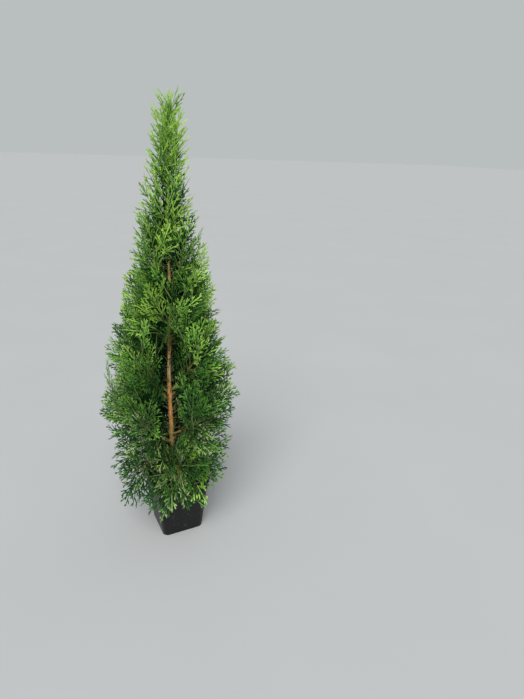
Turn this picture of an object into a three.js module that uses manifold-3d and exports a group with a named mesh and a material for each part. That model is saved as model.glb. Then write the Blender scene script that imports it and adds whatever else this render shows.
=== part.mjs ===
// A young thuja, 58 cm tall above its soil, in a square nursery pot of 9 cm.
// Millimetres, Z up. The origin is the middle of the pot's flat underside, and X and Y run along its sides.
// One trunk runs up whole through the crown. Boughs leave it in tiers, and each mass of foliage grows from
// the tip of its bough, or from the trunk higher up, inside a space of its own: a slice of the crown between
// two sloping surfaces. Twigs branch from the stem of a mass, and each sprig on them is one toothed blade.
import * as THREE from 'three';
import { mergeVertices } from 'three/addons/utils/BufferGeometryUtils.js';
import Module from 'manifold-3d';

const wasm = await Module();
wasm.setup();

// Clear distance between pieces that meet
const GAP = 0.3;

// Edges shorter than this are closed up where solids are fused
const SLIVER = 0.02;

// Pot
const POT_HEIGHT = 95;
const RIM_WIDTH = 90;
const BASE_WIDTH = 67;
const BASE_CORNER = 9;
const WALL = 1.2;
const FLOOR = 1.6;
const LIP_HEIGHT = 5;
const LIP_REACH = 1.5;
const LIP_LEAN = 0.6;
const LIP_CORNER = 11.7;
const CORNER_SEGMENTS = 3;
const HOLE_WIDTH = 8;
const HOLE_RING = 25;
const HOLE_COUNT = 8;
const HOLE_SIDES = 6;

// Compost
const SOIL = 88;
const CLOD_COUNT = 6;
const CLOD_WIDTH = 9;
const CLOD_HEIGHT = 2.4;
const CLOD_RING = 27;
const CLOD_VARIES = 0.3;

// Trunk: its foot on the soil, its length, radii, root flare, lean and slow sway
const FOOT_X = -8;
const FOOT_Y = 4;
const TRUNK_LENGTH = 534;
const TRUNK_RADIUS = 3.8;
const TRUNK_TIP_RADIUS = 0.8;
const TRUNK_TAPER = 1.3;
const TRUNK_SIDES = 8;
const TRUNK_RINGS = 18;
const RING_CURVE = 1.35;
const FLARE = 1.7;
const FLARE_HEIGHT = 8;
const LEAN = 9;
const LEAN_TURN = -28;
const SWAY = 1.6;
const SWAYS = 2.2;

// Crown: its radius is greatest at one height, and falls evenly below and in a curve above
const WIDEST_HEIGHT = 245;
const WIDEST_RADIUS = 105;
const CROWN_TOP = 667;
const TOP_RADIUS = 17;
const CROWN_CURVE = 1.2;
const LOWER_SLOPE = 0.12;
const RAGGED = 0.07;
const RAGGED_WAVES = [31, 17];
const LOWEST_TIP = 54;

// The open view of the stem: two tiers leave a slot this wide, towards this bearing
const WINDOW_TURN = 253.5;
const WINDOW_HALF = 8;

// Tiers of masses from the soil up. Each mass has its bearing, its foot on the trunk (a height, with a climb
// from one to the next), the length of its bare bough, the angle at which that leaves, the end of its stem,
// the roof of its space (a height on the trunk and a slope), its twigs and the length of its blades.
const TIERS = [
  { name: 'skirt', count: 5, turn: 262, foot: 111, climb: 4, bough: 26, rise: 40, arch: 46,
    end: [56, 115], roof: [146, 0.42], twigs: 9, twig: 13, lift: 0.12, blade: 50, window: false },
  { name: 'lower', count: 6, turn: 223.5, foot: 150, climb: 4, bough: 34, rise: 34, arch: 52,
    end: [72, 216], roof: [208, 0.8], twigs: 9, twig: 18, lift: 0.1, blade: 60, window: true },
  { name: 'middle', count: 5, turn: 217.5, foot: 226, climb: 5, bough: 30, rise: 40, arch: 46,
    end: [54, 304], roof: [290, 1.1], twigs: 8, twig: 16, lift: 0.25, blade: 58, window: true },
  { name: 'upper', count: 5, turn: 253.5, foot: 309, climb: 5, bough: 22, rise: 45, arch: 40,
    end: [38, 380], roof: [375, 1.3], twigs: 7, twig: 14, lift: 0.25, blade: 52, window: false },
  { name: 'high', count: 4, turn: 208.5, foot: 394, climb: 6, bough: 0, rise: 50, arch: 36,
    end: [26, 456], roof: [455, 1.5], twigs: 6, twig: 11, lift: 0.25, blade: 46, window: false },
  { name: 'crest', count: 3, turn: 253.5, foot: 468, climb: 11, bough: 0, rise: 56, arch: 32,
    end: [17, 532], roof: [540, 1.8], twigs: 7, twig: 8, lift: 0.25, blade: 40, window: false },
  { name: 'spire', count: 3, turn: 193.5, foot: 544, climb: 11, bough: 0, rise: 58, arch: 24,
    end: [12, 594], roof: [650, 0], twigs: 6, twig: 6, lift: 0.25, blade: 33, window: false },
];

// The bearings of boughs vary by this much, and their feet climb round the trunk in a spiral
const TURN_SPREAD = 4;
const SPIRAL = 0.618;

// Leader: the mass on the tip of the trunk, in a slim cone that opens upwards
const LEADER_STEM = 14;
const LEADER_CONE = 5;
const LEADER_SLOPE = 0.5;
const LEADER_TWIGS = 7;
const LEADER_TWIG = 4;
const LEADER_BLADE = 29;
const LEADER_LIFT = 0.3;
const LEADER_NUMBER = 90;

// Boughs, stems and twigs
const BOUGH_RADIUS = 2.3;
const BOUGH_TIP_RADIUS = 1.7;
const BOUGH_SIDES = 5;
const BOUGH_STEPS = 2;
const STEM_RADIUS = 2.3;
const STEM_TIP_RADIUS = 1.7;
const STEM_SIDES = 3;
const STEM_STEPS = 3;
const TWIG_RADIUS = 0.75;
const TWIG_TURN = 137.5;
const TWIG_TRIES = [[0, 42], [40, 34], [-40, 34], [90, 28], [-90, 28], [180, 42]];

// Sprays: a twig that widens into a flat blade with teeth on both sides of a ridge, as shares of its length
const FORK_ANGLE = 34;
const FORK_PLACE = 0.88;
const FORK_TWIG = 0.6;
const TIP_TWIG = 2;
const BLADE_CREST = 0.36;
const BLADE_THICK = 0.024;
const BLADE_OUTLINE = [
  [0.1, -0.025],
  [0.36, -0.24],
  [0.38, -0.07],
  [0.63, -0.22],
  [0.59, -0.06],
  [0.84, -0.15],
  [0.78, -0.04],
  [1, 0],
  [0.72, 0.045],
  [0.75, 0.18],
  [0.51, 0.065],
  [0.51, 0.24],
  [0.33, 0.07],
  [0.25, 0.21],
  [0.07, 0.025],
];
const BLADE_SIZES = [1.15, 1, 0.85, 0.7, 0.6];
const BLADE_APART = 0.085;

// How a spray's twist, length and twig vary, in degrees and shares
const SPRAY_TWIST = 60;
const LENGTH_VARIES = 0.12;
const TWIG_VARIES = 0.2;

// Clear distances of a spray from trunk and bough, from the edge of its space and from the pot
const LIMB_CLEAR = 1;
const SPACE_CLEAR = 0.5;
const POT_CLEAR = 2;

const UP = new THREE.Vector3(0, 0, 1);
const degrees = THREE.MathUtils.degToRad;

// A repeatable draw between 0 and 1 for a set of whole numbers
function draw(...keys) {
  let state = 9173;
  for (const key of keys) {
    state = (state * 16807 + (key + 1) * 48271) % 2147483647;
  }
  state = (state * 16807) % 2147483647;
  state = (state * 16807) % 2147483647;
  return state / 2147483647;
}

// A repeatable draw between -1 and 1
function spread(...keys) {
  return 2 * draw(...keys) - 1;
}

// The direction of a bearing and a rise, both in degrees
function direction(turn, rise) {
  const flat = Math.cos(degrees(rise));
  const x = flat * Math.cos(degrees(turn));
  const y = flat * Math.sin(degrees(turn));
  return new THREE.Vector3(x, y, Math.sin(degrees(rise)));
}

// The two directions square to a limb: one level, one lifted
function squareTo(ahead) {
  const level = new THREE.Vector3().crossVectors(UP, ahead).normalize();
  const lift = new THREE.Vector3().crossVectors(ahead, level);
  return { level, lift };
}

// A closed geometry as a solid
function solid(geometry) {
  const bare = geometry.clone();
  bare.deleteAttribute('normal');
  bare.deleteAttribute('uv');
  const merged = mergeVertices(bare, 1e-4);
  const vertProperties = new Float32Array(merged.attributes.position.array);
  const triVerts = new Uint32Array(merged.index.array);
  return new wasm.Manifold(new wasm.Mesh({ numProp: 3, vertProperties, triVerts }));
}

// The largest body of a solid as a geometry: slivers, scraps and the shells of sealed hollows are dropped
function geometryOf(whole) {
  const bodies = whole.simplify(SLIVER).decompose();
  const largest = bodies.reduce((best, body) => (body.volume() > best.volume() ? body : best));
  const mesh = largest.getMesh();
  const geometry = new THREE.BufferGeometry();
  geometry.setAttribute('position', new THREE.BufferAttribute(new Float32Array(mesh.vertProperties), 3));
  geometry.setIndex(new THREE.BufferAttribute(new Uint32Array(mesh.triVerts), 1));
  const faceted = geometry.toNonIndexed();
  faceted.computeVertexNormals();
  return faceted;
}

// Pot and compost

// A block on a rounded square, whose sides lean evenly from its lower width to its upper width
function squareBlock(lowerWidth, upperWidth, bottom, top, corner) {
  const half = lowerWidth / 2;
  const shape = new THREE.Shape();
  shape.moveTo(-half + corner, -half);
  shape.lineTo(half - corner, -half);
  shape.absarc(half - corner, -half + corner, corner, -Math.PI / 2, 0, false);
  shape.absarc(half - corner, half - corner, corner, 0, Math.PI / 2, false);
  shape.absarc(-half + corner, half - corner, corner, Math.PI / 2, Math.PI, false);
  shape.absarc(-half + corner, -half + corner, corner, Math.PI, 1.5 * Math.PI, false);
  const height = top - bottom;
  const block = new THREE.ExtrudeGeometry(
    shape, { depth: height, bevelEnabled: false, curveSegments: CORNER_SEGMENTS });
  const position = block.attributes.position;
  for (let i = 0; i < position.count; i += 1) {
    const share = position.getZ(i) / height;
    const scale = 1 + share * (upperWidth / lowerWidth - 1);
    position.setXY(i, position.getX(i) * scale, position.getY(i) * scale);
  }
  return block.translate(0, 0, bottom);
}

// Width of the pot's outer wall at a height, without its lip
function wallWidth(height) {
  const top = RIM_WIDTH - 2 * LIP_REACH;
  return BASE_WIDTH + (top - BASE_WIDTH) * (height / POT_HEIGHT);
}

// Width of the hollow at a height, less twice a margin
function hollowWidth(height, margin) {
  return wallWidth(height) - 2 * (WALL + margin);
}

function makePot() {
  const lipBottom = POT_HEIGHT - LIP_HEIGHT;
  const corner = BASE_CORNER;
  const over = 1;
  const shell = solid(squareBlock(wallWidth(0), wallWidth(POT_HEIGHT), 0, POT_HEIGHT, corner));
  const lip = solid(squareBlock(RIM_WIDTH - LIP_LEAN, RIM_WIDTH, lipBottom, POT_HEIGHT, LIP_CORNER));
  const inside = squareBlock(
    hollowWidth(FLOOR, 0), hollowWidth(POT_HEIGHT + over, 0), FLOOR, POT_HEIGHT + over, corner - WALL);
  let pot = shell.add(lip).subtract(solid(inside));
  for (let i = 0; i < HOLE_COUNT; i += 1) {
    const hole = new THREE.CylinderGeometry(HOLE_WIDTH / 2, HOLE_WIDTH / 2, FLOOR + 2 * over, HOLE_SIDES);
    hole.rotateX(Math.PI / 2);
    const bearing = (i + 0.5) * (360 / HOLE_COUNT);
    const place = direction(bearing, 0).multiplyScalar(HOLE_RING);
    pot = pot.subtract(solid(hole.translate(place.x, place.y, FLOOR / 2)));
  }
  return geometryOf(pot);
}

// The compost fills the pot to just under the lip, with a ring of clods that stay clear of the trunk
function makeCompost() {
  const bottom = FLOOR + GAP;
  const corner = BASE_CORNER - WALL - GAP;
  let compost = solid(squareBlock(hollowWidth(bottom, GAP), hollowWidth(SOIL, GAP), bottom, SOIL, corner));
  for (let i = 0; i < CLOD_COUNT; i += 1) {
    const clod = new THREE.IcosahedronGeometry(CLOD_WIDTH / 2 * (1 + CLOD_VARIES * spread(1, i)));
    clod.scale(1, 1, CLOD_HEIGHT / CLOD_WIDTH);
    clod.rotateZ(i);
    const bearing = (i + CLOD_VARIES * spread(2, i)) * (360 / CLOD_COUNT);
    const place = direction(bearing, 0).multiplyScalar(CLOD_RING * (1 + 0.5 * CLOD_VARIES * spread(3, i)));
    compost = compost.add(solid(clod.translate(place.x, place.y, SOIL - 0.1)));
  }
  return geometryOf(compost);
}

// Trunk

// Middle of the trunk at a height above the ground
function trunkAt(height) {
  const share = (height - SOIL) / TRUNK_LENGTH;
  const along = LEAN * share + SWAY * Math.sin(share * SWAYS * 2 * Math.PI);
  const across = SWAY * Math.sin(share * SWAYS * Math.PI);
  const leaning = direction(LEAN_TURN, 0).multiplyScalar(along);
  const aside = direction(LEAN_TURN + 90, 0).multiplyScalar(across);
  return new THREE.Vector3(FOOT_X, FOOT_Y, height).add(leaning).add(aside);
}

// Radius of the trunk at a height above the ground, with the root flare at its foot
function trunkRadius(height) {
  const share = THREE.MathUtils.clamp((height - SOIL) / TRUNK_LENGTH, 0, 1);
  const taper = TRUNK_RADIUS - (TRUNK_RADIUS - TRUNK_TIP_RADIUS) * share ** TRUNK_TAPER;
  return taper + FLARE * Math.exp(-(height - SOIL) / FLARE_HEIGHT);
}

// A limb of rings: middles, radii and the two directions of each ring are given, from its root to its tip
function limb(middles, radii, rights, lifts, sides) {
  const steps = middles.length - 1;
  const geometry = new THREE.CylinderGeometry(1, 1, 1, sides, steps);
  const position = geometry.attributes.position;
  for (let i = 0; i < position.count; i += 1) {
    const ring = Math.round((position.getY(i) + 0.5) * steps);
    const point = middles[ring].clone();
    point.addScaledVector(rights[ring], position.getX(i) * radii[ring]);
    point.addScaledVector(lifts[ring], -position.getZ(i) * radii[ring]);
    position.setXYZ(i, point.x, point.y, point.z);
  }
  return geometry;
}

// The trunk, with level rings that are closer together in its root flare. More radius makes a cutter.
function makeTrunk(extra) {
  const middles = [];
  const radii = [];
  for (let i = 0; i <= TRUNK_RINGS; i += 1) {
    const share = (i / TRUNK_RINGS) ** RING_CURVE;
    const height = SOIL + GAP + (TRUNK_LENGTH - GAP) * share;
    middles.push(trunkAt(height));
    radii.push(trunkRadius(height) + extra);
  }
  const rights = middles.map(() => new THREE.Vector3(1, 0, 0));
  const lifts = middles.map(() => new THREE.Vector3(0, 1, 0));
  return limb(middles, radii, rights, lifts, TRUNK_SIDES);
}

// Boughs and masses

// A limb along a curve, from one share of it to another
function limbAlong(curve, from, to, rootRadius, tipRadius, sides, steps) {
  const middles = [];
  const radii = [];
  const rights = [];
  const lifts = [];
  for (let i = 0; i <= steps; i += 1) {
    const share = from + (to - from) * (i / steps);
    const { level, lift } = squareTo(curve.getTangent(share));
    middles.push(curve.getPoint(share));
    radii.push(rootRadius + (tipRadius - rootRadius) * (i / steps));
    rights.push(level);
    lifts.push(lift);
  }
  return limb(middles, radii, rights, lifts, sides);
}

// Radius of the crown at a height and a bearing
function crownRadius(height, turn) {
  const rise = THREE.MathUtils.clamp((height - WIDEST_HEIGHT) / (CROWN_TOP - WIDEST_HEIGHT), 0, 1);
  const above = TOP_RADIUS + (WIDEST_RADIUS - TOP_RADIUS) * (1 - rise) ** CROWN_CURVE;
  const below = WIDEST_RADIUS - LOWER_SLOPE * (WIDEST_HEIGHT - height);
  const [slow, fast] = RAGGED_WAVES;
  const ragged = Math.sin(degrees(3 * turn) + height / slow) + Math.sin(degrees(5 * turn) - height / fast);
  return Math.min(above, below) * (1 + RAGGED * ragged / 2);
}

// The space of each mass in a tier: a slice between bearings, over the roof of the tier below
function tierSpaces() {
  const spaces = [];
  let floor = [LOWEST_TIP, 0];
  for (const [level, tier] of TIERS.entries()) {
    for (let i = 0; i < tier.count; i += 1) {
      const middle = tier.turn + i * (360 / tier.count);
      const turn = middle + (tier.window ? 0 : TURN_SPREAD * spread(4, level, i));
      const order = tier.count * ((i * SPIRAL) % 1);
      spaces.push({ ...tier, number: spaces.length, label: `${tier.name}_${i + 1}`, middle, turn,
        half: 180 / tier.count, foot: tier.foot + order * tier.climb, floor });
    }
    floor = tier.roof;
  }
  return spaces;
}

// Signed difference of two bearings, in degrees
function bearingBetween(a, b) {
  return ((a - b + 540) % 360 + 360) % 360 - 180;
}

// Whether a point keeps to the space of a mass
function inSpace(point, space) {
  const middle = trunkAt(point.z);
  const x = point.x - middle.x;
  const y = point.y - middle.y;
  const radius = Math.hypot(x, y);
  const turn = THREE.MathUtils.radToDeg(Math.atan2(y, x));
  const cone = LEADER_CONE + LEADER_SLOPE * (point.z - SOIL - TRUNK_LENGTH);
  if (point.z > CROWN_TOP || radius > crownRadius(point.z, turn)) return false;
  if (radius < trunkRadius(point.z) + LIMB_CLEAR && point.z < SOIL + TRUNK_LENGTH + LIMB_CLEAR) return false;
  if (space.leader) return point.z > SOIL + TRUNK_LENGTH && radius < cone - SPACE_CLEAR;
  if (point.z > SOIL + TRUNK_LENGTH - LEADER_CONE && radius < cone + SPACE_CLEAR) return false;
  const fromMiddle = Math.max(Math.abs(point.x), Math.abs(point.y));
  if (point.z < POT_HEIGHT + POT_CLEAR && fromMiddle < RIM_WIDTH / 2 + POT_CLEAR) return false;
  if (point.z > space.roof[0] + space.roof[1] * radius - SPACE_CLEAR) return false;
  if (point.z < space.floor[0] + space.floor[1] * radius + SPACE_CLEAR) return false;
  const aside = bearingBetween(turn, space.middle);
  if (Math.abs(aside) > space.half) return false;
  const toWindow = Math.abs(bearingBetween(turn, WINDOW_TURN));
  const slot = space.window && toWindow < 90 ? radius * Math.sin(degrees(toWindow)) : WINDOW_HALF;
  return slot >= WINDOW_HALF && radius * Math.sin(degrees(space.half - Math.abs(aside))) > SPACE_CLEAR;
}

// The curve that a bough and the stem of its mass share
function growthCurve(space) {
  const foot = trunkAt(space.foot);
  const control = foot.clone().addScaledVector(direction(space.turn, space.rise), space.arch);
  const end = trunkAt(space.end[1]).addScaledVector(direction(space.turn, 0), space.end[0]);
  return new THREE.QuadraticBezierCurve3(foot, control, end);
}

// The points of a spray: the outline of its blade, the two crests, and the two ends of its twig. The twig's
// root is sunk in the stem, and its sides run on into the edges and the ridge of the blade.
function sprayPoints(spray) {
  const across = new THREE.Vector3().crossVectors(spray.normal, spray.ahead).multiplyScalar(spray.side);
  const normal = spray.normal.clone().multiplyScalar(spray.side);
  const place = (along, aside, over) => spray.root.clone().addScaledVector(spray.ahead, along)
    .addScaledVector(across, aside).addScaledVector(normal, over);
  const { twig, length } = spray;
  const points = BLADE_OUTLINE.map(([along, aside]) => place(twig + along * length, aside * length, 0));
  const crest = twig + BLADE_CREST * length;
  const half = BLADE_THICK * length / 2;
  points.push(place(crest, 0, half), place(crest, 0, -half));
  for (const along of [0, twig]) {
    points.push(place(along, -TWIG_RADIUS, -TWIG_RADIUS / 2));
    points.push(place(along, 0, TWIG_RADIUS));
    points.push(place(along, TWIG_RADIUS, -TWIG_RADIUS / 2));
  }
  return points;
}

function sprayGeometry(spray) {
  const last = BLADE_OUTLINE.length - 1;
  const [top, bottom, rightRoot, ridgeRoot, leftRoot, right, ridge, left] =
    [1, 2, 3, 4, 5, 6, 7, 8].map((i) => last + i);
  const index = [];
  for (let i = 0; i < last; i += 1) index.push(i, i + 1, top, i + 1, i, bottom);
  index.push(last, left, top, left, ridge, top, ridge, right, top, right, 0, top);
  index.push(left, last, bottom, right, left, bottom, 0, right, bottom);
  index.push(left, leftRoot, ridge, leftRoot, ridgeRoot, ridge);
  index.push(ridge, ridgeRoot, right, ridgeRoot, rightRoot, right);
  index.push(right, rightRoot, left, rightRoot, leftRoot, left);
  index.push(leftRoot, rightRoot, ridgeRoot);
  const geometry = new THREE.BufferGeometry().setFromPoints(sprayPoints(spray));
  return geometry.setIndex(index);
}

// Points on a spray's edges, crests and twig, to test it by
function spraySamples(spray) {
  const samples = sprayPoints(spray).slice(0, BLADE_OUTLINE.length + 2);
  for (let i = 0; i < BLADE_OUTLINE.length - 1; i += 1) {
    for (const share of [0.33, 0.67]) samples.push(samples[i].clone().lerp(samples[i + 1], share));
  }
  for (const share of [0.5, 0.8, 1]) {
    samples.push(spray.root.clone().addScaledVector(spray.ahead, share * spray.twig));
  }
  return samples;
}

// Whether all samples keep to the space and stay clear of the mass's own bough
function fits(samples, space, limbs) {
  return samples.every((point) => inSpace(point, space)
    && limbs.every((middle) => middle.distanceTo(point) > BOUGH_RADIUS + LIMB_CLEAR));
}

// Points on the outline and down the middle of a spray's blade
function bladePoints(spray) {
  const middle = [0.25, 0.45, 0.65, 0.85].map((share) =>
    spray.root.clone().addScaledVector(spray.ahead, spray.twig + share * spray.length));
  return [...sprayPoints(spray).slice(0, BLADE_OUTLINE.length), ...middle];
}

// The largest size of a spray that keeps to the space, and apart from the sprays already there
function sizedSpray(spray, space, limbs, sprays) {
  const taken = sprays.flatMap(bladePoints);
  for (const size of BLADE_SIZES) {
    const sized = { ...spray, size, length: spray.length * size };
    const clear = BLADE_APART * space.blade;
    const apart = bladePoints(sized)
      .every((point) => taken.every((other) => other.distanceTo(point) > clear));
    if (apart && fits(spraySamples(sized), space, limbs)) return [sized];
  }
  return [];
}

// A direction bent away from another by an angle, towards a roll about it
function branchFrom(ahead, angle, roll) {
  const { level, lift } = squareTo(ahead);
  const outward = level.multiplyScalar(Math.cos(degrees(roll)))
    .addScaledVector(lift, Math.sin(degrees(roll)));
  return ahead.clone().multiplyScalar(Math.cos(degrees(angle)))
    .addScaledVector(outward, Math.sin(degrees(angle))).normalize();
}

// The normal of a spray's plane: level, so that the spray stands upright, then turned about its own line
function sprayNormal(ahead, twist) {
  const { level, lift } = squareTo(ahead);
  return level.multiplyScalar(Math.cos(degrees(twist))).addScaledVector(lift, Math.sin(degrees(twist)));
}

// A spray that leaves the stem at a share of its curve, in its own turn about the stem
function sideSpray(space, curve, share, k, turn, angle) {
  const roll = space.number * 61 + k * TWIG_TURN + turn;
  const ahead = branchFrom(curve.getTangent(share), angle, roll);
  ahead.addScaledVector(UP, space.lift).normalize();
  const normal = sprayNormal(ahead, SPRAY_TWIST * spread(7, space.number, k));
  const twig = space.twig * (1.15 - 0.5 * (k / space.twigs)) * (1 + TWIG_VARIES * spread(6, space.number, k));
  const length = space.blade * (1 + LENGTH_VARIES * spread(8, space.number, k));
  return { root: curve.getPoint(share), ahead, normal, twig, length, side: k % 2 ? 1 : -1 };
}

// The sprays of a mass, by one rule from its curve. They leave the stem turn by turn, each where it comes
// out largest, and the stem ends in a fork of two more.
function growMass(space, curve, from) {
  const limbs = [];
  const steps = 12;
  for (let i = 0; i < steps && from > 0; i += 1) limbs.push(curve.getPoint(from * (i / steps)));
  const sprays = [];
  const ahead = curve.getTangent(1);
  const normal = sprayNormal(ahead, SPRAY_TWIST * spread(9, space.number));
  const forkSide = space.number % 2 ? 1 : -1;
  for (const [place, way] of [[1, 0], [FORK_PLACE, forkSide]]) {
    const turned = ahead.clone().applyAxisAngle(normal, degrees(FORK_ANGLE * way));
    const root = curve.getPoint(place);
    if (way === 0) root.addScaledVector(turned, -TWIG_RADIUS);
    const length = space.blade * (1 + LENGTH_VARIES * spread(10, space.number, way));
    const twig = way === 0 ? TIP_TWIG : FORK_TWIG * space.twig;
    const spray = { root, ahead: turned, normal, twig, length, side: forkSide };
    sprays.push(...sizedSpray(spray, space, limbs, sprays));
  }
  for (let k = 0; k < space.twigs; k += 1) {
    const share = from + (1 - from) * ((k + 0.5) / (space.twigs + 0.2));
    const tries = TWIG_TRIES.map(([turn, angle]) => sideSpray(space, curve, share, k, turn, angle))
      .flatMap((spray) => sizedSpray(spray, space, limbs, sprays));
    tries.sort((a, b) => b.size - a.size);
    sprays.push(...tries.slice(0, 1));
  }
  return sprays;
}

// The share of a curve at which it is a length away from its start
function shareAt(curve, length) {
  return curve.getUtoTmapping(length / curve.getLength());
}

// The fused solid of a mass
function massSolid(space, curve, from, rootRadius) {
  let mass = solid(limbAlong(curve, from, 1, rootRadius, STEM_TIP_RADIUS, STEM_SIDES, STEM_STEPS));
  for (const spray of growMass(space, curve, from)) mass = mass.add(solid(sprayGeometry(spray)));
  return mass;
}

const MATERIALS = {
  pot: new THREE.MeshStandardMaterial({ color: 0x17181a, roughness: 0.55, metalness: 0 }),
  compost: new THREE.MeshStandardMaterial({ color: 0x2c2019, roughness: 1, metalness: 0 }),
  trunk: new THREE.MeshStandardMaterial({ color: 0x9a6136, roughness: 0.8, metalness: 0 }),
  bough: new THREE.MeshStandardMaterial({ color: 0x7c6a38, roughness: 0.8, metalness: 0 }),
  foliage: new THREE.MeshStandardMaterial({ color: 0x5f9430, roughness: 0.7, metalness: 0 }),
};

const plant = new THREE.Group();

function addPiece(name, geometry, finish) {
  const mesh = new THREE.Mesh(geometry, MATERIALS[finish].clone());
  mesh.name = name;
  plant.add(mesh);
}

addPiece('pot', makePot(), 'pot');
addPiece('compost', makeCompost(), 'compost');
addPiece('trunk', makeTrunk(0), 'trunk');

const trunkCutter = solid(makeTrunk(GAP));
for (const space of tierSpaces()) {
  const curve = growthCurve(space);
  if (space.bough > 0) {
    const boughEnd = shareAt(curve, space.bough);
    const bough = limbAlong(curve, 0, boughEnd, BOUGH_RADIUS, BOUGH_TIP_RADIUS, BOUGH_SIDES, BOUGH_STEPS);
    addPiece(`bough_${space.label}`, geometryOf(solid(bough).subtract(trunkCutter)), 'bough');
    const mass = massSolid(space, curve, shareAt(curve, space.bough + GAP), STEM_RADIUS);
    addPiece(`foliage_${space.label}`, geometryOf(mass), 'foliage');
  } else {
    const mass = massSolid(space, curve, 0, STEM_RADIUS);
    addPiece(`foliage_${space.label}`, geometryOf(mass.subtract(trunkCutter)), 'foliage');
  }
}

// The leader's stem stands on the trunk's tip
const leaderFoot = trunkAt(SOIL + TRUNK_LENGTH + GAP);
const leaderTip = trunkAt(SOIL + TRUNK_LENGTH + LEADER_STEM);
const leaderSpace = { leader: true, number: LEADER_NUMBER, twigs: LEADER_TWIGS, twig: LEADER_TWIG,
  lift: LEADER_LIFT, blade: LEADER_BLADE };
const leaderCurve = new THREE.QuadraticBezierCurve3(
  leaderFoot, leaderFoot.clone().lerp(leaderTip, 0.5), leaderTip);
addPiece('foliage_leader', geometryOf(massSolid(leaderSpace, leaderCurve, 0, STEM_TIP_RADIUS)), 'foliage');

export default plant;
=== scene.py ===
# A young thuja in a black square nursery pot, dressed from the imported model.
import math

import bmesh
import bpy
import numpy as np
from mathutils import Matrix, Vector, noise


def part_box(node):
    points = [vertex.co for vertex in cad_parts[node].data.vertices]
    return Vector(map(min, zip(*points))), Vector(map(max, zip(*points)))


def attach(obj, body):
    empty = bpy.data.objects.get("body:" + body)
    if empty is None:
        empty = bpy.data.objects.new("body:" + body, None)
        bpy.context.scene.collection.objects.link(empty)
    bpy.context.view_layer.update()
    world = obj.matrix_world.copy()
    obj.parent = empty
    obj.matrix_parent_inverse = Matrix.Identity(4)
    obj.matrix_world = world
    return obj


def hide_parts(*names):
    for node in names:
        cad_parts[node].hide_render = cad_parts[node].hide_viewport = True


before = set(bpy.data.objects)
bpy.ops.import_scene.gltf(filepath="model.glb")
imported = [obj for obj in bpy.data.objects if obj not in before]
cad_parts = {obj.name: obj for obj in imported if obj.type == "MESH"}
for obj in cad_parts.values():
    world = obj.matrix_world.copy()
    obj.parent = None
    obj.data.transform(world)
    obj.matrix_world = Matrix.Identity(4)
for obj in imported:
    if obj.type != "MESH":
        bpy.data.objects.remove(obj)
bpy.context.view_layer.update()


# Pot
# A square nursery pot of thin black polypropylene, moulded in one shot, with leaning sides and round corners.
# Its rim is folded outwards into a narrow lip, and a ring of drainage holes leaves the middle of its floor
# whole. Potting has left dust, splashes and dried water marks on it.
pot_low, pot_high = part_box("pot")
POT_HEIGHT = pot_high.z
RIM_WIDTH = pot_high.x - pot_low.x
BASE_WIDTH = 0.067
BASE_CORNER = 0.009
WALL = 0.0012
LIP_HEIGHT = 0.005
LIP_REACH = 0.0015
LEDGE_HEIGHTS = (0.072, 0.0725)
LEDGE_STEP = 1.008
HOLE_WIDTH = 0.008
HOLE_RING = 0.025
HOLE_COUNT = 8
BLACK = (0.0022, 0.0025, 0.003, 1)
DUST = (0.03, 0.029, 0.026, 1)
SPLASH = (0.2, 0.2, 0.19, 1)
POT_ROUGHNESS = 0.36
POT_SHEEN = 0.2
PLASTIC_IOR = 1.49
GRIME_DEPTH = 0.00025
HOLE_DEPTH = 0.02
EDGE_ROUND = 0.0003


def start_piece(name, add, **settings):
    """Adds a primitive with nothing else selected, names it and sets its place in its mesh."""
    bpy.ops.object.select_all(action="DESELECT")
    add(**settings)
    piece = bpy.context.object
    piece.name = name
    piece.data.name = name
    bpy.ops.object.transform_apply(location=True, rotation=True, scale=True)
    return piece


def choose(piece, kind, wanted):
    """Selects the verts, edges or faces of a piece in edit mode that fit a test, and nothing else."""
    bpy.ops.mesh.select_mode(type={"verts": "VERT", "edges": "EDGE", "faces": "FACE"}[kind])
    bpy.ops.mesh.select_all(action="DESELECT")
    shape = bmesh.from_edit_mesh(piece.data)
    for part in getattr(shape, kind):
        if wanted(part):
            part.select_set(True)
    bmesh.update_edit_mesh(piece.data)


def apply_modifier(piece, kind, **settings):
    """Adds a modifier to a piece and applies it."""
    modifier = piece.modifiers.new(kind.lower(), kind)
    for name, value in settings.items():
        setattr(modifier, name, value)
    bpy.context.view_layer.objects.active = piece
    bpy.ops.object.modifier_apply(modifier=modifier.name)


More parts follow.
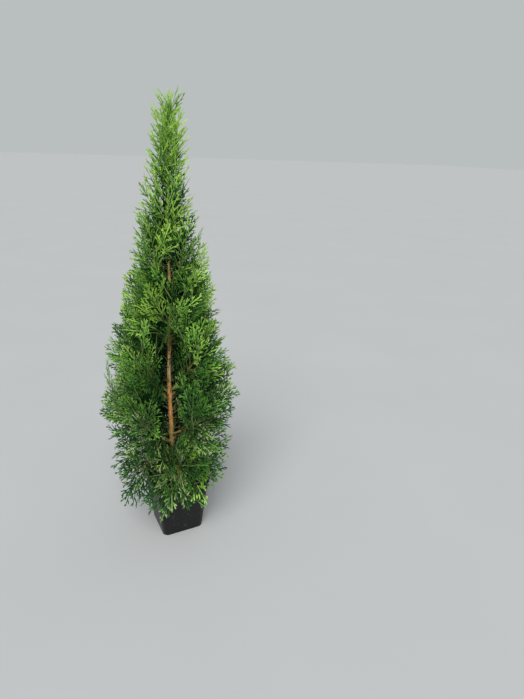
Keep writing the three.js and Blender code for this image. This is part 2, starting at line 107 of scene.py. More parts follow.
class Wire:
    """A socket in a finish's node tree. Reckoning with it adds the nodes that do the sum."""

    def __init__(self, tree, socket=None):
        self.tree = tree
        self.socket = socket

    def node(self, kind, settings, sockets, out=0):
        """Adds a node: first its settings, then the values or links of its sockets."""
        made = self.tree.nodes.new(kind)
        for name, value in settings.items():
            if name == "stops":
                for stop, (place, colour) in zip([*made.color_ramp.elements], value):
                    stop.position = place
                    stop.color = colour
                for place, colour in value[2:]:
                    made.color_ramp.elements.new(place).color = colour
            else:
                setattr(made, name, value)
        for name, value in sockets.items():
            if isinstance(value, Wire):
                self.tree.links.new(value.socket, made.inputs[name])
            else:
                made.inputs[name].default_value = value
        return Wire(self.tree, made.outputs[out])

    def maths(self, operation, first, second):
        """A sum of two values."""
        return self.node("ShaderNodeMath", {"operation": operation}, {0: first, 1: second})

    def __add__(self, other):
        return self.maths("ADD", self, other)

    __radd__ = __add__

    def __mul__(self, other):
        return self.maths("MULTIPLY", self, other)

    __rmul__ = __mul__

    def __sub__(self, other):
        return self.maths("SUBTRACT", self, other)

    def __rsub__(self, other):
        return self.maths("SUBTRACT", other, self)

    def clip(self, low, high):
        """Spreads the range from low to high over 0 to 1, and cuts off the rest."""
        return self.node("ShaderNodeMapRange", {"clamp": True}, {0: self, 1: low, 2: high})

    def blend(self, first, second):
        """Blends two colours by this share of the second."""
        return self.node("ShaderNodeMix", {"data_type": "RGBA"}, {0: self, 6: first, 7: second}, out=2)

    def noise(self, scale, detail=3, rough=0.5, stretch=(1, 1, 1)):
        """Noise on the object's own coordinates, with scale in turns per metre."""
        place = self.node("ShaderNodeTexCoord", {}, {}, out=3)
        place = self.node("ShaderNodeMapping", {}, {"Vector": place, "Scale": stretch})
        return self.node("ShaderNodeTexNoise", {}, {"Vector": place, "Scale": scale, "Detail": detail,
                                                    "Roughness": rough})

    def height(self):
        """The height over the ground."""
        place = self.node("ShaderNodeTexCoord", {}, {}, out=3)
        return self.node("ShaderNodeSeparateXYZ", {}, {0: place}, out=2)

    def bump(self, depth):
        """A relief of this height, with its full depth in metres."""
        return self.node("ShaderNodeBump", {}, {"Height": self, "Strength": 1, "Distance": depth})


def new_finish(name, constants):
    """A material whose constants are set on its shader, and a wire to build the rest on."""
    finish = bpy.data.materials.new(name)
    finish.use_nodes = True
    for socket, value in constants.items():
        finish.node_tree.nodes["Principled BSDF"].inputs[socket].default_value = value
    return finish, Wire(finish.node_tree)


def feed(finish, **links):
    """Links wires to the shader's sockets."""
    for name, wire in links.items():
        socket = finish.node_tree.nodes["Principled BSDF"].inputs[name.replace("_", " ")]
        finish.node_tree.links.new(wire.socket, socket)


def wear(piece, finish, slot, *nodes):
    """Gives a piece its finish, hides the imported nodes that it stands for and hangs it on the root body.
    The slot is not used.
    """
    piece.data.materials.clear()
    piece.data.materials.append(finish)
    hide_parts(*nodes)
    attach(piece, "root")


def make_pot_finish():
    """Black plastic with clouds of dust, pale splashes and dried streaks, most at its foot and rim."""
    finish, wire = new_finish("black_polypropylene", {"Specular IOR Level": POT_SHEEN, "IOR": PLASTIC_IOR})
    cloud = wire.noise(38, 5, 0.62)
    speck = wire.noise(330, 4, 0.62).clip(0.6, 0.68) * wire.noise(75, 3, 0.5).clip(0.42, 0.62)
    streak = wire.noise(90, 4, 0.6, (1, 1, 0.12)).clip(0.5, 0.75)
    low = (0.03 - wire.height()).clip(-0.01, 0.03)
    high = (wire.height() - POT_HEIGHT).clip(-0.014, 0.002)
    grime = cloud.clip(0.46, 0.74) * (0.3 + 0.35 * low + 0.4 * high) + 0.14 * streak
    feed(finish, Base_Color=(speck * 0.7).blend((grime * 0.8).blend(BLACK, DUST), SPLASH))
    feed(finish, Roughness=POT_ROUGHNESS + 0.32 * grime + 0.18 * (cloud - 0.5) + 0.3 * speck)
    feed(finish, Normal=(wire.noise(260, 3, 0.5) * 0.5 + grime * 0.5 + speck).bump(GRIME_DEPTH))
    return finish


wall_width = RIM_WIDTH - 2 * LIP_REACH
pot = start_piece("pot_shell", bpy.ops.mesh.primitive_cube_add, size=1,
                  location=(0, 0, (POT_HEIGHT - WALL) / 2),
                  scale=(BASE_WIDTH, BASE_WIDTH, POT_HEIGHT - WALL))
bpy.ops.object.mode_set(mode="EDIT")
choose(pot, "edges", lambda edge: abs(edge.verts[0].co.z - edge.verts[1].co.z) > WALL)
bpy.ops.mesh.bevel(offset=BASE_CORNER, segments=9, affect="EDGES")
choose(pot, "faces", lambda face: face.normal.z > 0.9)
bpy.ops.transform.resize(value=(wall_width / BASE_WIDTH, wall_width / BASE_WIDTH, 1),
                         center_override=(0, 0, POT_HEIGHT - WALL))
bpy.ops.mesh.delete(type="ONLY_FACE")
for ledge in LEDGE_HEIGHTS:
    bpy.ops.mesh.select_all(action="SELECT")
    bpy.ops.mesh.bisect(plane_co=(0, 0, ledge), plane_no=(0, 0, 1))
choose(pot, "verts", lambda vert: vert.co.z > LEDGE_HEIGHTS[1] - WALL / 10)
bpy.ops.transform.resize(value=(LEDGE_STEP, LEDGE_STEP, 1), center_override=(0, 0, 0))
choose(pot, "edges", lambda edge: edge.is_boundary)
bpy.ops.mesh.extrude_edges_move()
lip_scale = (RIM_WIDTH - 2 * WALL) / (wall_width * LEDGE_STEP)
bpy.ops.transform.resize(value=(lip_scale, lip_scale, 1), center_override=(0, 0, 0))
bpy.ops.mesh.extrude_edges_move()
bpy.ops.transform.translate(value=(0, 0, -LIP_HEIGHT))
bpy.ops.object.mode_set(mode="OBJECT")
apply_modifier(pot, "SOLIDIFY", thickness=WALL, offset=-1, use_even_offset=True)
for i in range(HOLE_COUNT):
    turn = (i + 0.5) * 2 * math.pi / HOLE_COUNT
    hole = start_piece("drain", bpy.ops.mesh.primitive_cylinder_add, vertices=24, radius=HOLE_WIDTH / 2,
                       depth=HOLE_DEPTH, location=(HOLE_RING * math.cos(turn), HOLE_RING * math.sin(turn), 0))
    apply_modifier(pot, "BOOLEAN", object=hole, operation="DIFFERENCE")
    bpy.data.objects.remove(hole)
apply_modifier(pot, "BEVEL", width=EDGE_ROUND, segments=2, limit_method="ANGLE", angle_limit=math.radians(40))
bpy.ops.object.select_all(action="DESELECT")
pot.select_set(True)
bpy.ops.object.shade_smooth_by_angle(angle=math.radians(35))
wear(pot, make_pot_finish(), "pot", "pot")


# Compost
# Moist brown peat that fills the pot to just under its lip: a lumpy surface, with crumbs and small clods
# on it and the reddish fibres of bark and old roots. It is poured round the root ball and pressed by hand.
soil_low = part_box("compost")[0]
SOIL = 0.088
SOIL_GAP = 0.0003
SOIL_CUTS = 90
SQUARENESS = 9
LUMPS, LUMP_HEIGHT = 70, 0.0013
GRAINS, GRAIN_HEIGHT = 260, 0.0007
FINES, FINE_HEIGHT = 700, 0.0004
EDGE_FROM = 0.82
EDGE_SPAN = 0.18
EDGE_SINKS = 0.0022
PEAT_DEPTH = 0.0006
PEAT = (0.017, 0.0095, 0.0055, 1)
PEAT_DRY = (0.06, 0.034, 0.019, 1)
BARK_CHIP = (0.13, 0.05, 0.022, 1)
rng = np.random.default_rng(41)


def inner_width(height):
    """Width of the pot's hollow at a height, less its gap."""
    outer = BASE_WIDTH + (wall_width - BASE_WIDTH) * height / POT_HEIGHT
    return outer - 2 * (WALL + SOIL_GAP)


def soil_relief(x, y):
    """Height of the compost over its level: lumps, grains, and a sunk edge along the wall."""
    lumps = LUMP_HEIGHT * noise.noise(Vector((x, y, 3)) * LUMPS)
    grains = GRAIN_HEIGHT * noise.noise(Vector((x, y, 7)) * GRAINS)
    grains += FINE_HEIGHT * noise.noise(Vector((x, y, 1)) * FINES)
    edge = max(abs(x), abs(y)) / (inner_width(SOIL) / 2)
    return lumps + grains - EDGE_SINKS * max(0, edge - EDGE_FROM) / EDGE_SPAN


def make_peat_finish(name, dark, dry, fleck, flecks):
    """Peat from dark to dry, with flecks where a noise passes a level."""
    finish, wire = new_finish(name, {"Roughness": 0.92, "Specular IOR Level": 0.25})
    tone = wire.noise(330, 6, 0.7)
    colour = tone.clip(0.35, 0.7).blend(dark, dry)
    feed(finish, Base_Color=wire.noise(900, 2, 0.5).clip(flecks, flecks + 0.06).blend(colour, fleck))
    feed(finish, Roughness=0.72 + 0.25 * tone)
    feed(finish, Normal=(wire.noise(1500, 4, 0.65) + tone).bump(PEAT_DEPTH))
    return finish


def mesh_piece(name, points, faces):
    """A piece from arrays: points in metres, and faces of three points each."""
    mesh = bpy.data.meshes.new(name)
    mesh.vertices.add(len(points))
    mesh.vertices.foreach_set("co", np.asarray(points, np.float32).ravel())
    mesh.loops.add(3 * len(faces))
    mesh.loops.foreach_set("vertex_index", np.asarray(faces, np.int32).ravel())
    mesh.polygons.add(len(faces))
    mesh.polygons.foreach_set("loop_start", np.arange(0, 3 * len(faces), 3, dtype=np.int32))
    mesh.update(calc_edges=True)
    mesh.shade_flat()
    piece = bpy.data.objects.new(name, mesh)
    bpy.context.scene.collection.objects.link(piece)
    return piece


top_width = inner_width(SOIL)
compost = start_piece("compost_fill", bpy.ops.mesh.primitive_grid_add, x_subdivisions=SOIL_CUTS,
                      y_subdivisions=SOIL_CUTS, size=top_width, location=(0, 0, SOIL))
for vert in compost.data.vertices:
    across = max(abs(vert.co.x), abs(vert.co.y))
    if across > 0:
        power = (abs(vert.co.x) ** SQUARENESS + abs(vert.co.y) ** SQUARENESS) ** (1 / SQUARENESS)
        vert.co.x *= across / power
        vert.co.y *= across / power
    vert.co.z += soil_relief(vert.co.x, vert.co.y)
bpy.ops.object.mode_set(mode="EDIT")
choose(compost, "edges", lambda edge: edge.is_boundary)
bpy.ops.mesh.extrude_edges_move()
choose(compost, "edges", lambda edge: edge.is_boundary)
bottom_scale = inner_width(soil_low.z) / top_width
bpy.ops.transform.resize(value=(bottom_scale, bottom_scale, 0), center_override=(0, 0, soil_low.z))
bpy.ops.mesh.edge_face_add()
bpy.ops.object.mode_set(mode="OBJECT")
wear(compost, make_peat_finish("moist_peat", PEAT, PEAT_DRY, BARK_CHIP, 0.66), "compost", "compost")

CRUMB_COUNT = 620
CRUMB_SIZES = (0.0005, 0.0021)
CRUMB_MARGIN = 0.006
CRUMB_LUMPS = 0.35
CRUMB_STANDS = 0.3


def joined(parts):
    """The points and faces of many parts as those of one."""
    starts = np.cumsum([0] + [len(points) for points, _ in parts])
    faces = [faces + start for (_, faces), start in zip(parts, starts)]
    return np.concatenate([points for points, _ in parts]), np.concatenate(faces)


grain = start_piece("crumb_form", bpy.ops.mesh.primitive_ico_sphere_add, subdivisions=1, radius=1)
grain_points = np.array([vert.co[:] for vert in grain.data.vertices])
grain_faces = np.array([face.vertices[:] for face in grain.data.polygons])
bpy.data.objects.remove(grain)
crumbs = []
for _ in range(CRUMB_COUNT):
    size = CRUMB_SIZES[0] + CRUMB_SIZES[1] * rng.random() ** 3.5
    x, y = (rng.random(2) - 0.5) * (top_width - CRUMB_MARGIN)
    lumpy = grain_points * (1 + CRUMB_LUMPS * rng.standard_normal((len(grain_points), 1)).clip(-1, 1))
    lumpy = lumpy * size * (0.7 + 0.6 * rng.random(3))
    crumbs.append((lumpy + (x, y, SOIL + soil_relief(x, y) + CRUMB_STANDS * size), grain_faces))
crumb_piece = mesh_piece("compost_crumbs", *joined(crumbs))
wear(crumb_piece, make_peat_finish("peat_crumbs", PEAT, PEAT_DRY, BARK_CHIP, 0.56), "compost")

FIBRE_COUNT = 130
FIBRE_LENGTHS = (0.004, 0.012)
FIBRE_MARGIN = 0.02
FIBRE_BENDS = 0.8
FIBRE_STANDS = 0.0006
FIBRE_ARCH = 0.0012
FIBRE_RADIUS = 0.00022
FIBRE_TAPER = np.array([0.5, 1, 1.1, 1, 0.8, 0.4])
FIBRE_SIDES = 5
FIBRE_DARK = (0.07, 0.028, 0.012, 1)
FIBRE_DRY = (0.19, 0.085, 0.038, 1)
NO_TUBES_WAY = (0.31, 0.2, 0.93)


def unit(vectors):
    """The vectors at a length of one."""
    return vectors / np.linalg.norm(vectors, axis=-1)[..., None]


def tube_faces(steps, sides):
    """Faces of a tube between rings of points, with its two ends closed."""
    step, side = np.meshgrid(np.arange(steps), np.arange(sides), indexing="ij")
    a = (step * sides + side).ravel()
    b = (step * sides + (side + 1) % sides).ravel()
    fan = np.arange(1, sides - 1)
    foot = np.stack([0 * fan, fan + 1, fan], 1)
    tip = steps * sides + np.stack([0 * fan, fan, fan + 1], 1)
    return np.concatenate([np.stack([a, b, b + sides], 1), np.stack([a, b + sides, a + sides], 1), foot, tip])


def tube(points, radii, sides):
    """Points and faces of a closed round tube along a line of points."""
    points = np.asarray(points, float)
    along = unit(np.gradient(points, axis=0))
    aside = unit(np.cross(along, NO_TUBES_WAY))
    over = np.cross(along, aside)
    turns = np.arange(sides) * 2 * np.pi / sides
    rings = (points[:, None] + np.asarray(radii)[:, None, None]
             * (np.cos(turns)[:, None] * aside[:, None] + np.sin(turns)[:, None] * over[:, None]))
    return rings.reshape(-1, 3), tube_faces(len(points) - 1, sides)


strands = []
for _ in range(FIBRE_COUNT):
    x, y = (rng.random(2) - 0.5) * (top_width - FIBRE_MARGIN)
    turn = rng.random() * 2 * math.pi
    length = FIBRE_LENGTHS[0] + FIBRE_LENGTHS[1] * rng.random() ** 2
    bend = rng.standard_normal() * FIBRE_BENDS
    line = []
    for share in np.linspace(-0.5, 0.5, len(FIBRE_TAPER)):
        px = x + length * share * math.cos(turn + bend * share)
        py = y + length * share * math.sin(turn + bend * share)
        over = FIBRE_ARCH * (0.25 - share * share)
        line.append((px, py, SOIL + soil_relief(px, py) + FIBRE_STANDS + over))
    strands.append(tube(line, FIBRE_RADIUS * FIBRE_TAPER, FIBRE_SIDES))
fibres = mesh_piece("compost_fibres", *joined(strands))
wear(fibres, make_peat_finish("bark_fibres", FIBRE_DARK, FIBRE_DRY, PEAT, 0.6), "compost")


# Trunk
# One live stem, grown from the compost to the leading shoot, with a small root flare and a slow sway.
# Its bark is thin, fibrous and cinnamon brown, olive near the compost and greener towards the tip, and it
# swells where a bough leaves it. Lengths of the plant are in millimetres, as a plant is measured.
MM = 0.001
GROUND = 88
FOOT_X = -8
FOOT_Y = 4
TRUNK_LENGTH = 534
TRUNK_RADIUS = 3.8
TRUNK_TIP_RADIUS = 0.8
TRUNK_TAPER = 1.3
FLARE = 1.7
FLARE_HEIGHT = 8
LEAN = 9
LEAN_TURN = -28
SWAY = 1.6
SWAYS = 2.2
TRUNK_SIDES = 30
TRUNK_RINGS = 560
UP = np.array([0.0, 0.0, 1.0])
FIBRE_RELIEF = 0.28
FIBRE_TURNS = (2.4, 5.1)
FIBRE_STRETCH = 0.05
KNOT_RELIEF = 1.1
KNOT_TURNS = (0.6, 0.16)
BARK_DEPTH = 0.0005
BARK_SHADE = (0.34, 0.23, 0.18, 1)
BARK_HEIGHTS = (0.09, 0.62)
BARK_STOPS = [
    (0.0, (0.26, 0.18, 0.06, 1)),
    (0.11, (0.44, 0.34, 0.11, 1)),
    (0.17, (0.6, 0.42, 0.15, 1)),
    (0.2, (0.94, 0.42, 0.13, 1)),
    (0.28, (0.95, 0.45, 0.15, 1)),
    (0.33, (0.88, 0.6, 0.29, 1)),
    (0.39, (0.84, 0.57, 0.28, 1)),
    (0.43, (0.88, 0.43, 0.19, 1)),
    (0.52, (0.9, 0.58, 0.26, 1)),
    (0.64, (0.7, 0.5, 0.2, 1)),
    (0.74, (0.3, 0.36, 0.08, 1)),
    (1.0, (0.16, 0.27, 0.04, 1)),
]


def cos_sin(angle):
    """The cosine and sine of an angle in degrees."""
    return math.cos(math.radians(angle)), math.sin(math.radians(angle))


def direction(turn, rise):
    """The direction of a bearing and a rise, in degrees."""
    flat, up = cos_sin(rise)
    x, y = cos_sin(turn)
    return np.array([flat * x, flat * y, up])


def trunk_at(height):
    """Middle of the trunk at each height over the ground."""
    height = np.asarray(height, float)
    share = (height - GROUND) / TRUNK_LENGTH
    along = LEAN * share + SWAY * np.sin(share * SWAYS * 2 * np.pi)
    across = SWAY * np.sin(share * SWAYS * np.pi)
    middle = np.stack([np.full_like(height, FOOT_X), np.full_like(height, FOOT_Y), height], -1)
    middle = middle + along[..., None] * direction(LEAN_TURN, 0)
    return middle + across[..., None] * direction(LEAN_TURN + 90, 0)


def trunk_radius(height):
    """Radius of the trunk at each height over the ground."""
    share = np.clip((np.asarray(height, float) - GROUND) / TRUNK_LENGTH, 0, 1)
    taper = TRUNK_RADIUS - (TRUNK_RADIUS - TRUNK_TIP_RADIUS) * share ** TRUNK_TAPER
    return taper + FLARE * np.exp(-(np.asarray(height, float) - GROUND) / FLARE_HEIGHT)


def roll_limb(name, middles, levels, lifts, radius, sides):
    """A limb: a flat grid is rolled round a line of rings, its seam is merged and its ends are closed."""
    rings = len(middles) - 1
    limb = start_piece(name, bpy.ops.mesh.primitive_grid_add, size=1, x_subdivisions=sides,
                       y_subdivisions=rings)
    flat = np.zeros(3 * len(limb.data.vertices))
    limb.data.vertices.foreach_get("co", flat)
    flat = flat.reshape(-1, 3)
    ring = np.rint((flat[:, 1] + 0.5) * rings).astype(int)
    side = np.rint((flat[:, 0] + 0.5) * sides).astype(int) % sides
    turn = side * 2 * np.pi / sides
    out = np.cos(turn)[:, None] * levels[ring] + np.sin(turn)[:, None] * lifts[ring]
    placed = middles[ring] + radius(ring, turn)[:, None] * out
    limb.data.vertices.foreach_set("co", (placed * MM).ravel())
    limb.data.update()
    bpy.ops.object.mode_set(mode="EDIT")
    bpy.ops.mesh.select_all(action="SELECT")
    bpy.ops.mesh.remove_doubles(threshold=1e-7)
    choose(limb, "edges", lambda edge: edge.is_boundary)
    bpy.ops.mesh.fill_holes(sides=0)
    bpy.ops.mesh.select_all(action="SELECT")
    bpy.ops.mesh.normals_make_consistent(inside=False)
    bpy.ops.object.mode_set(mode="OBJECT")
    bpy.ops.object.shade_smooth()
    return limb


def bark_relief(turn, height, girth):
    """Fibres that run along the limb, with knots, as a height over the bark."""
    relief = np.empty(len(turn))
    around, along = KNOT_TURNS
    for i, (angle, level) in enumerate(zip(turn, height)):
        place = Vector((math.cos(angle) * girth, math.sin(angle) * girth, level * FIBRE_STRETCH))
        fibre = noise.noise(place * FIBRE_TURNS[0]) + 0.5 * noise.noise(place * FIBRE_TURNS[1])
        knot = noise.noise(Vector((place.x * around, place.y * around, level * along)))
        relief[i] = FIBRE_RELIEF * fibre + KNOT_RELIEF * max(0, knot) ** 2
    return relief


def make_bark_finish(name, stops, low, high):
    """Bark whose colour changes from the first height to the second, with fibres and scars along it."""
    finish, wire = new_finish(name, {"Specular IOR Level": 0.3})
    fibre = wire.noise(900, 4, 0.6, (1, 1, 0.07))
    patch = wire.noise(120, 3, 0.6, (1, 1, 0.5))
    level = wire.height().clip(low, high) + 0.12 * (patch - 0.5)
    colour = level.node("ShaderNodeValToRGB", {"stops": stops}, {0: level})
    dark = colour.node("ShaderNodeMix", {"data_type": "RGBA", "blend_type": "MULTIPLY"},
                       {0: 1, 6: colour, 7: BARK_SHADE}, out=2)
    scar = wire.noise(210, 3, 0.65, (1, 1, 0.4)).clip(0.56, 0.68)
    feed(finish, Base_Color=(fibre.clip(0.52, 0.4) * 0.7 + 0.8 * scar).blend(colour, dark))
    feed(finish, Roughness=0.62 + 0.2 * fibre)
    feed(finish, Normal=(fibre + 0.5 * patch).bump(BARK_DEPTH))
    return finish


# The tiers of boughs are laid out here, because the trunk swells where each leaves it. For each tier: the
# bearing and height of its first bough and the climb to the next, the bare length of a bough, the slope and
# length of its first half, the reach and height of its stem's end, the height and slope of the roof over the
# tier, whether the bare front of the trunk shows in it, the twigs on a stem with their length and upturn, the
# length of a spray, how many finer sprays fill it, and how open its sprays are. In millimetres and degrees.
TIERS = [
    dict(name="skirt", count=5, turn=262, foot=111, climb=4, bough=26, rise=40, arch=46, end=(56, 115),
         roof=(146, 0.42), window=False, twigs=9, twig=13, lift=0.12, blade=50, fill=30, open=0),
    dict(name="lower", count=6, turn=223.5, foot=150, climb=4, bough=34, rise=34, arch=52, end=(72, 216),
         roof=(208, 0.8), window=True, twigs=9, twig=18, lift=0.1, blade=60, fill=42, open=0),
    dict(name="middle", count=5, turn=217.5, foot=226, climb=5, bough=30, rise=40, arch=46, end=(54, 304),
         roof=(290, 1.1), window=True, twigs=8, twig=16, lift=0.25, blade=58, fill=42, open=0),
    dict(name="upper", count=5, turn=253.5, foot=309, climb=5, bough=22, rise=45, arch=40, end=(38, 380),
         roof=(375, 1.3), window=False, twigs=7, twig=14, lift=0.25, blade=52, fill=38, open=0.1),
    dict(name="high", count=4, turn=208.5, foot=394, climb=6, bough=0, rise=50, arch=36, end=(26, 456),
         roof=(455, 1.5), window=False, twigs=6, twig=11, lift=0.25, blade=46, fill=38, open=0.3),
    dict(name="crest", count=3, turn=253.5, foot=468, climb=11, bough=0, rise=56, arch=32, end=(17, 532),
         roof=(540, 1.8), window=False, twigs=7, twig=8, lift=0.25, blade=40, fill=36, open=0.6),
    dict(name="spire", count=3, turn=193.5, foot=544, climb=11, bough=0, rise=58, arch=24, end=(12, 594),
         roof=(650, 0), window=False, twigs=6, twig=6, lift=0.25, blade=33, fill=30, open=1),
]
TURN_SPREAD = 4
SPIRAL = 0.618
LOWEST_TIP = 54
SEED = 9173


def draw(*keys):
    """A repeatable draw between 0 and 1 for a set of whole numbers."""
    state = SEED
    for key in keys:
        state = (state * 16807 + (key + 1) * 48271) % 2147483647
    state = (state * 16807) % 2147483647
    state = (state * 16807) % 2147483647
    return state / 2147483647


def spread(*keys):
    """A repeatable draw between -1 and 1."""
    return 2 * draw(*keys) - 1


def tier_spaces():
    """The space of each mass in a tier: a slice between bearings, over the roof of the tier below."""
    spaces = []
    floor = (LOWEST_TIP, 0)
    for level, tier in enumerate(TIERS):
        for i in range(tier["count"]):
            middle = tier["turn"] + i * (360 / tier["count"])
            turn = middle + (0 if tier["window"] else TURN_SPREAD * spread(4, level, i))
            foot = tier["foot"] + tier["count"] * ((i * SPIRAL) % 1) * tier["climb"]
            spaces.append(dict(tier, number=len(spaces), label=f"{tier['name']}_{i + 1}", middle=middle,
                               turn=turn, half=180 / tier["count"], foot=foot, floor=floor, leader=False))
        floor = tier["roof"]
    return spaces


SPACES = tier_spaces()
BARK_GIRTH = 0.93
COLLAR = 1.05
COLLAR_SPAN = 4.5
COLLAR_RISE = 2
ROOTS = 5
ROOT_TURN = 0.7
ROOT_SWELL = 0.9
FOOT_SUNK = 1.5
trunk_heights = GROUND - FOOT_SUNK + (TRUNK_LENGTH + FOOT_SUNK) * np.linspace(0, 1, TRUNK_RINGS + 1)


def trunk_skin(ring, turn):
    """Radius of the trunk's skin, with its fibres, the collars of its boughs and the swell of its roots."""
    height = trunk_heights[ring]
    radius = trunk_radius(height) * BARK_GIRTH
    radius += bark_relief(turn, height, TRUNK_RADIUS) * np.clip(trunk_radius(height) / 3, 0.3, 1)
    for space in SPACES:
        foot = space["foot"] + COLLAR_RISE
        facing = 0.5 + 0.5 * np.cos(turn - math.radians(space["turn"]))
        radius += COLLAR * facing ** 2 * np.exp(-((height - foot) / COLLAR_SPAN) ** 2)
    roots = 0.5 + 0.5 * np.cos(ROOTS * turn + ROOT_TURN)
    return radius + ROOT_SWELL * roots * np.exp(-(height - GROUND) / FLARE_HEIGHT)


trunk_levels = np.tile([1.0, 0, 0], (TRUNK_RINGS + 1, 1))
trunk_lifts = np.tile([0, 1.0, 0], (TRUNK_RINGS + 1, 1))
trunk = roll_limb("trunk_bark", trunk_at(trunk_heights), trunk_levels, trunk_lifts, trunk_skin, TRUNK_SIDES)
wear(trunk, make_bark_finish("cinnamon_bark", BARK_STOPS, *BARK_HEIGHTS), "bark", "trunk")


# Boughs
# Side branches that leave the trunk in four tiers at 35 to 45 degrees and arch up to their foliage. They are
# living wood grown from the trunk, with the same fibrous bark, browner and duller in the shade of the crown.
BOUGH_RADIUS = 2.3
BOUGH_TIP_RADIUS = 1.7
STEM_TIP_RADIUS = 0.7
BOUGH_GIRTH = 0.84
BOUGH_SIDES = 14
BOUGH_RINGS = 46
BOUGH_RELIEF = 0.55
BOUGH_GRAIN = 2
BOUGH_SWELL = 0.5
SWELL_FADES = 9
OWN_BARK = 90
CURVE_SHARES = np.linspace(0, 1, 201)
CURVE_STEP = 1e-4
BOUGH_HEIGHTS = (0.1, 0.4)
BOUGH_STOPS = [
    (0.0, (0.28, 0.21, 0.07, 1)),
    (0.3, (0.52, 0.35, 0.13, 1)),
    (0.6, (0.46, 0.38, 0.14, 1)),
    (1.0, (0.3, 0.3, 0.08, 1)),
]


def on_curve(points, shares):
    """Points at shares of a curve of three points."""
    start, control, end = points
    shares = np.asarray(shares, float)[..., None]
    return (1 - shares) ** 2 * start + 2 * shares * (1 - shares) * control + shares ** 2 * end


class Curve:
    """A curve of three points, which a bough and the stem of its mass share."""

    def __init__(self, start, control, end):
        self.points = [np.asarray(point, float) for point in (start, control, end)]
        lengths = np.linalg.norm(np.diff(self.at(CURVE_SHARES), axis=0), axis=1)
        self.lengths = np.concatenate([[0], np.cumsum(lengths)])

    def at(self, share):
        """Points at shares of the curve."""
        return on_curve(self.points, share)

    def ahead(self, share):
        """Unit direction at a share of the curve."""
        share = np.asarray(share)
        after = self.at(np.minimum(share + CURVE_STEP, 1))
        return unit(after - self.at(np.maximum(share - CURVE_STEP, 0)))

    def share_at(self, length):
        """The share of the curve at which it is a length away from its start."""
        return float(np.interp(length, self.lengths, CURVE_SHARES))


def square_to(ahead):
    """The two directions square to a limb: one level, one lifted."""
    level = unit(np.cross(UP, ahead))
    return level, np.cross(ahead, level)


def growth_curve(space):
    """The curve that a bough and the stem of its mass share."""
    foot = trunk_at(space["foot"])
    control = foot + space["arch"] * direction(space["turn"], space["rise"])
    reach, height = space["end"]
    return Curve(foot, control, trunk_at(height) + reach * direction(space["turn"], 0))


def make_bough(space, curve):
    """One bough, from the middle of the trunk to just inside its mass."""
    shares = np.linspace(0, curve.share_at(space["bough"] + 1), BOUGH_RINGS + 1)
    levels, lifts = square_to(curve.ahead(shares))
    middles = curve.at(shares)

    def skin(ring, turn):
        share = ring / BOUGH_RINGS
        bare = (BOUGH_RADIUS + (BOUGH_TIP_RADIUS - BOUGH_RADIUS) * share) * BOUGH_GIRTH
        along = share * space["bough"] + OWN_BARK * space["number"]
        swell = BOUGH_SWELL * np.exp(-share * SWELL_FADES)
        return bare + BOUGH_RELIEF * bark_relief(turn, along, BOUGH_GRAIN) + swell

    return roll_limb(f"bough_{space['label']}_bark", middles, levels, lifts, skin, BOUGH_SIDES)


boughs = [make_bough(space, growth_curve(space)) for space in SPACES if space["bough"] > 0]
bpy.ops.object.select_all(action="DESELECT")
for bough in boughs:
    bough.select_set(True)
bpy.context.view_layer.objects.active = boughs[0]
bpy.ops.object.join()
boughs[0].name = "bough_bark"
bough_nodes = [f"bough_{space['label']}" for space in SPACES if space["bough"] > 0]
wear(boughs[0], make_bark_finish("bough_bark", BOUGH_STOPS, *BOUGH_HEIGHTS), "bough_bark", *bough_nodes)


# Twigs and foliage
# Each bough ends in a leafy stem, whose twigs carry flat fern-like sprays of scale leaves, and short shoots
# leave the trunk itself. Together they fill a slim pointed crown, widest over the pot, with a narrow gap in
# front where the trunk shows. Each mass of foliage keeps to its own slice of the crown.
WIDEST_HEIGHT = 245
WIDEST_RADIUS = 105
CROWN_TOP = 667
TOP_RADIUS = 17
CROWN_CURVE = 1.2
LOWER_SLOPE = 0.12
RAGGED = 0.07
RAGGED_WAVES = (31, 17)
WINDOW_TURN = 253.5
WINDOW_HALF = 8
LEADER_CONE = 5
LEADER_SLOPE = 0.5
LIMB_CLEAR = 1
SPACE_CLEAR = 0.5
POT_CLEAR = 2


def crown_radius(height, turn):
    """Radius of the crown at each height and bearing."""
    rise = np.clip((height - WIDEST_HEIGHT) / (CROWN_TOP - WIDEST_HEIGHT), 0, 1)
    above = TOP_RADIUS + (WIDEST_RADIUS - TOP_RADIUS) * (1 - rise) ** CROWN_CURVE
    below = WIDEST_RADIUS - LOWER_SLOPE * (WIDEST_HEIGHT - height)
    slow, fast = RAGGED_WAVES
    ragged = np.sin(3 * turn + height / slow) + np.sin(5 * turn - height / fast)
    return np.minimum(above, below) * (1 + RAGGED * ragged / 2)


def bearing_between(a, b):
    """Signed difference of two bearings, in degrees."""
    return (a - b + 540) % 360 - 180


def about_trunk(points):
    """The height of each point, and its radius and bearing about the trunk."""
    height = points[:, 2]
    x, y = (points - trunk_at(height))[:, :2].T
    return height, np.hypot(x, y), np.arctan2(y, x)


def off_pot(points):
    """Whether each point is over the pot or beside it."""
    from_middle = np.abs(points[:, :2]).max(axis=1)
    return (points[:, 2] >= POT_HEIGHT / MM + POT_CLEAR) | (from_middle >= RIM_WIDTH / MM / 2 + POT_CLEAR)


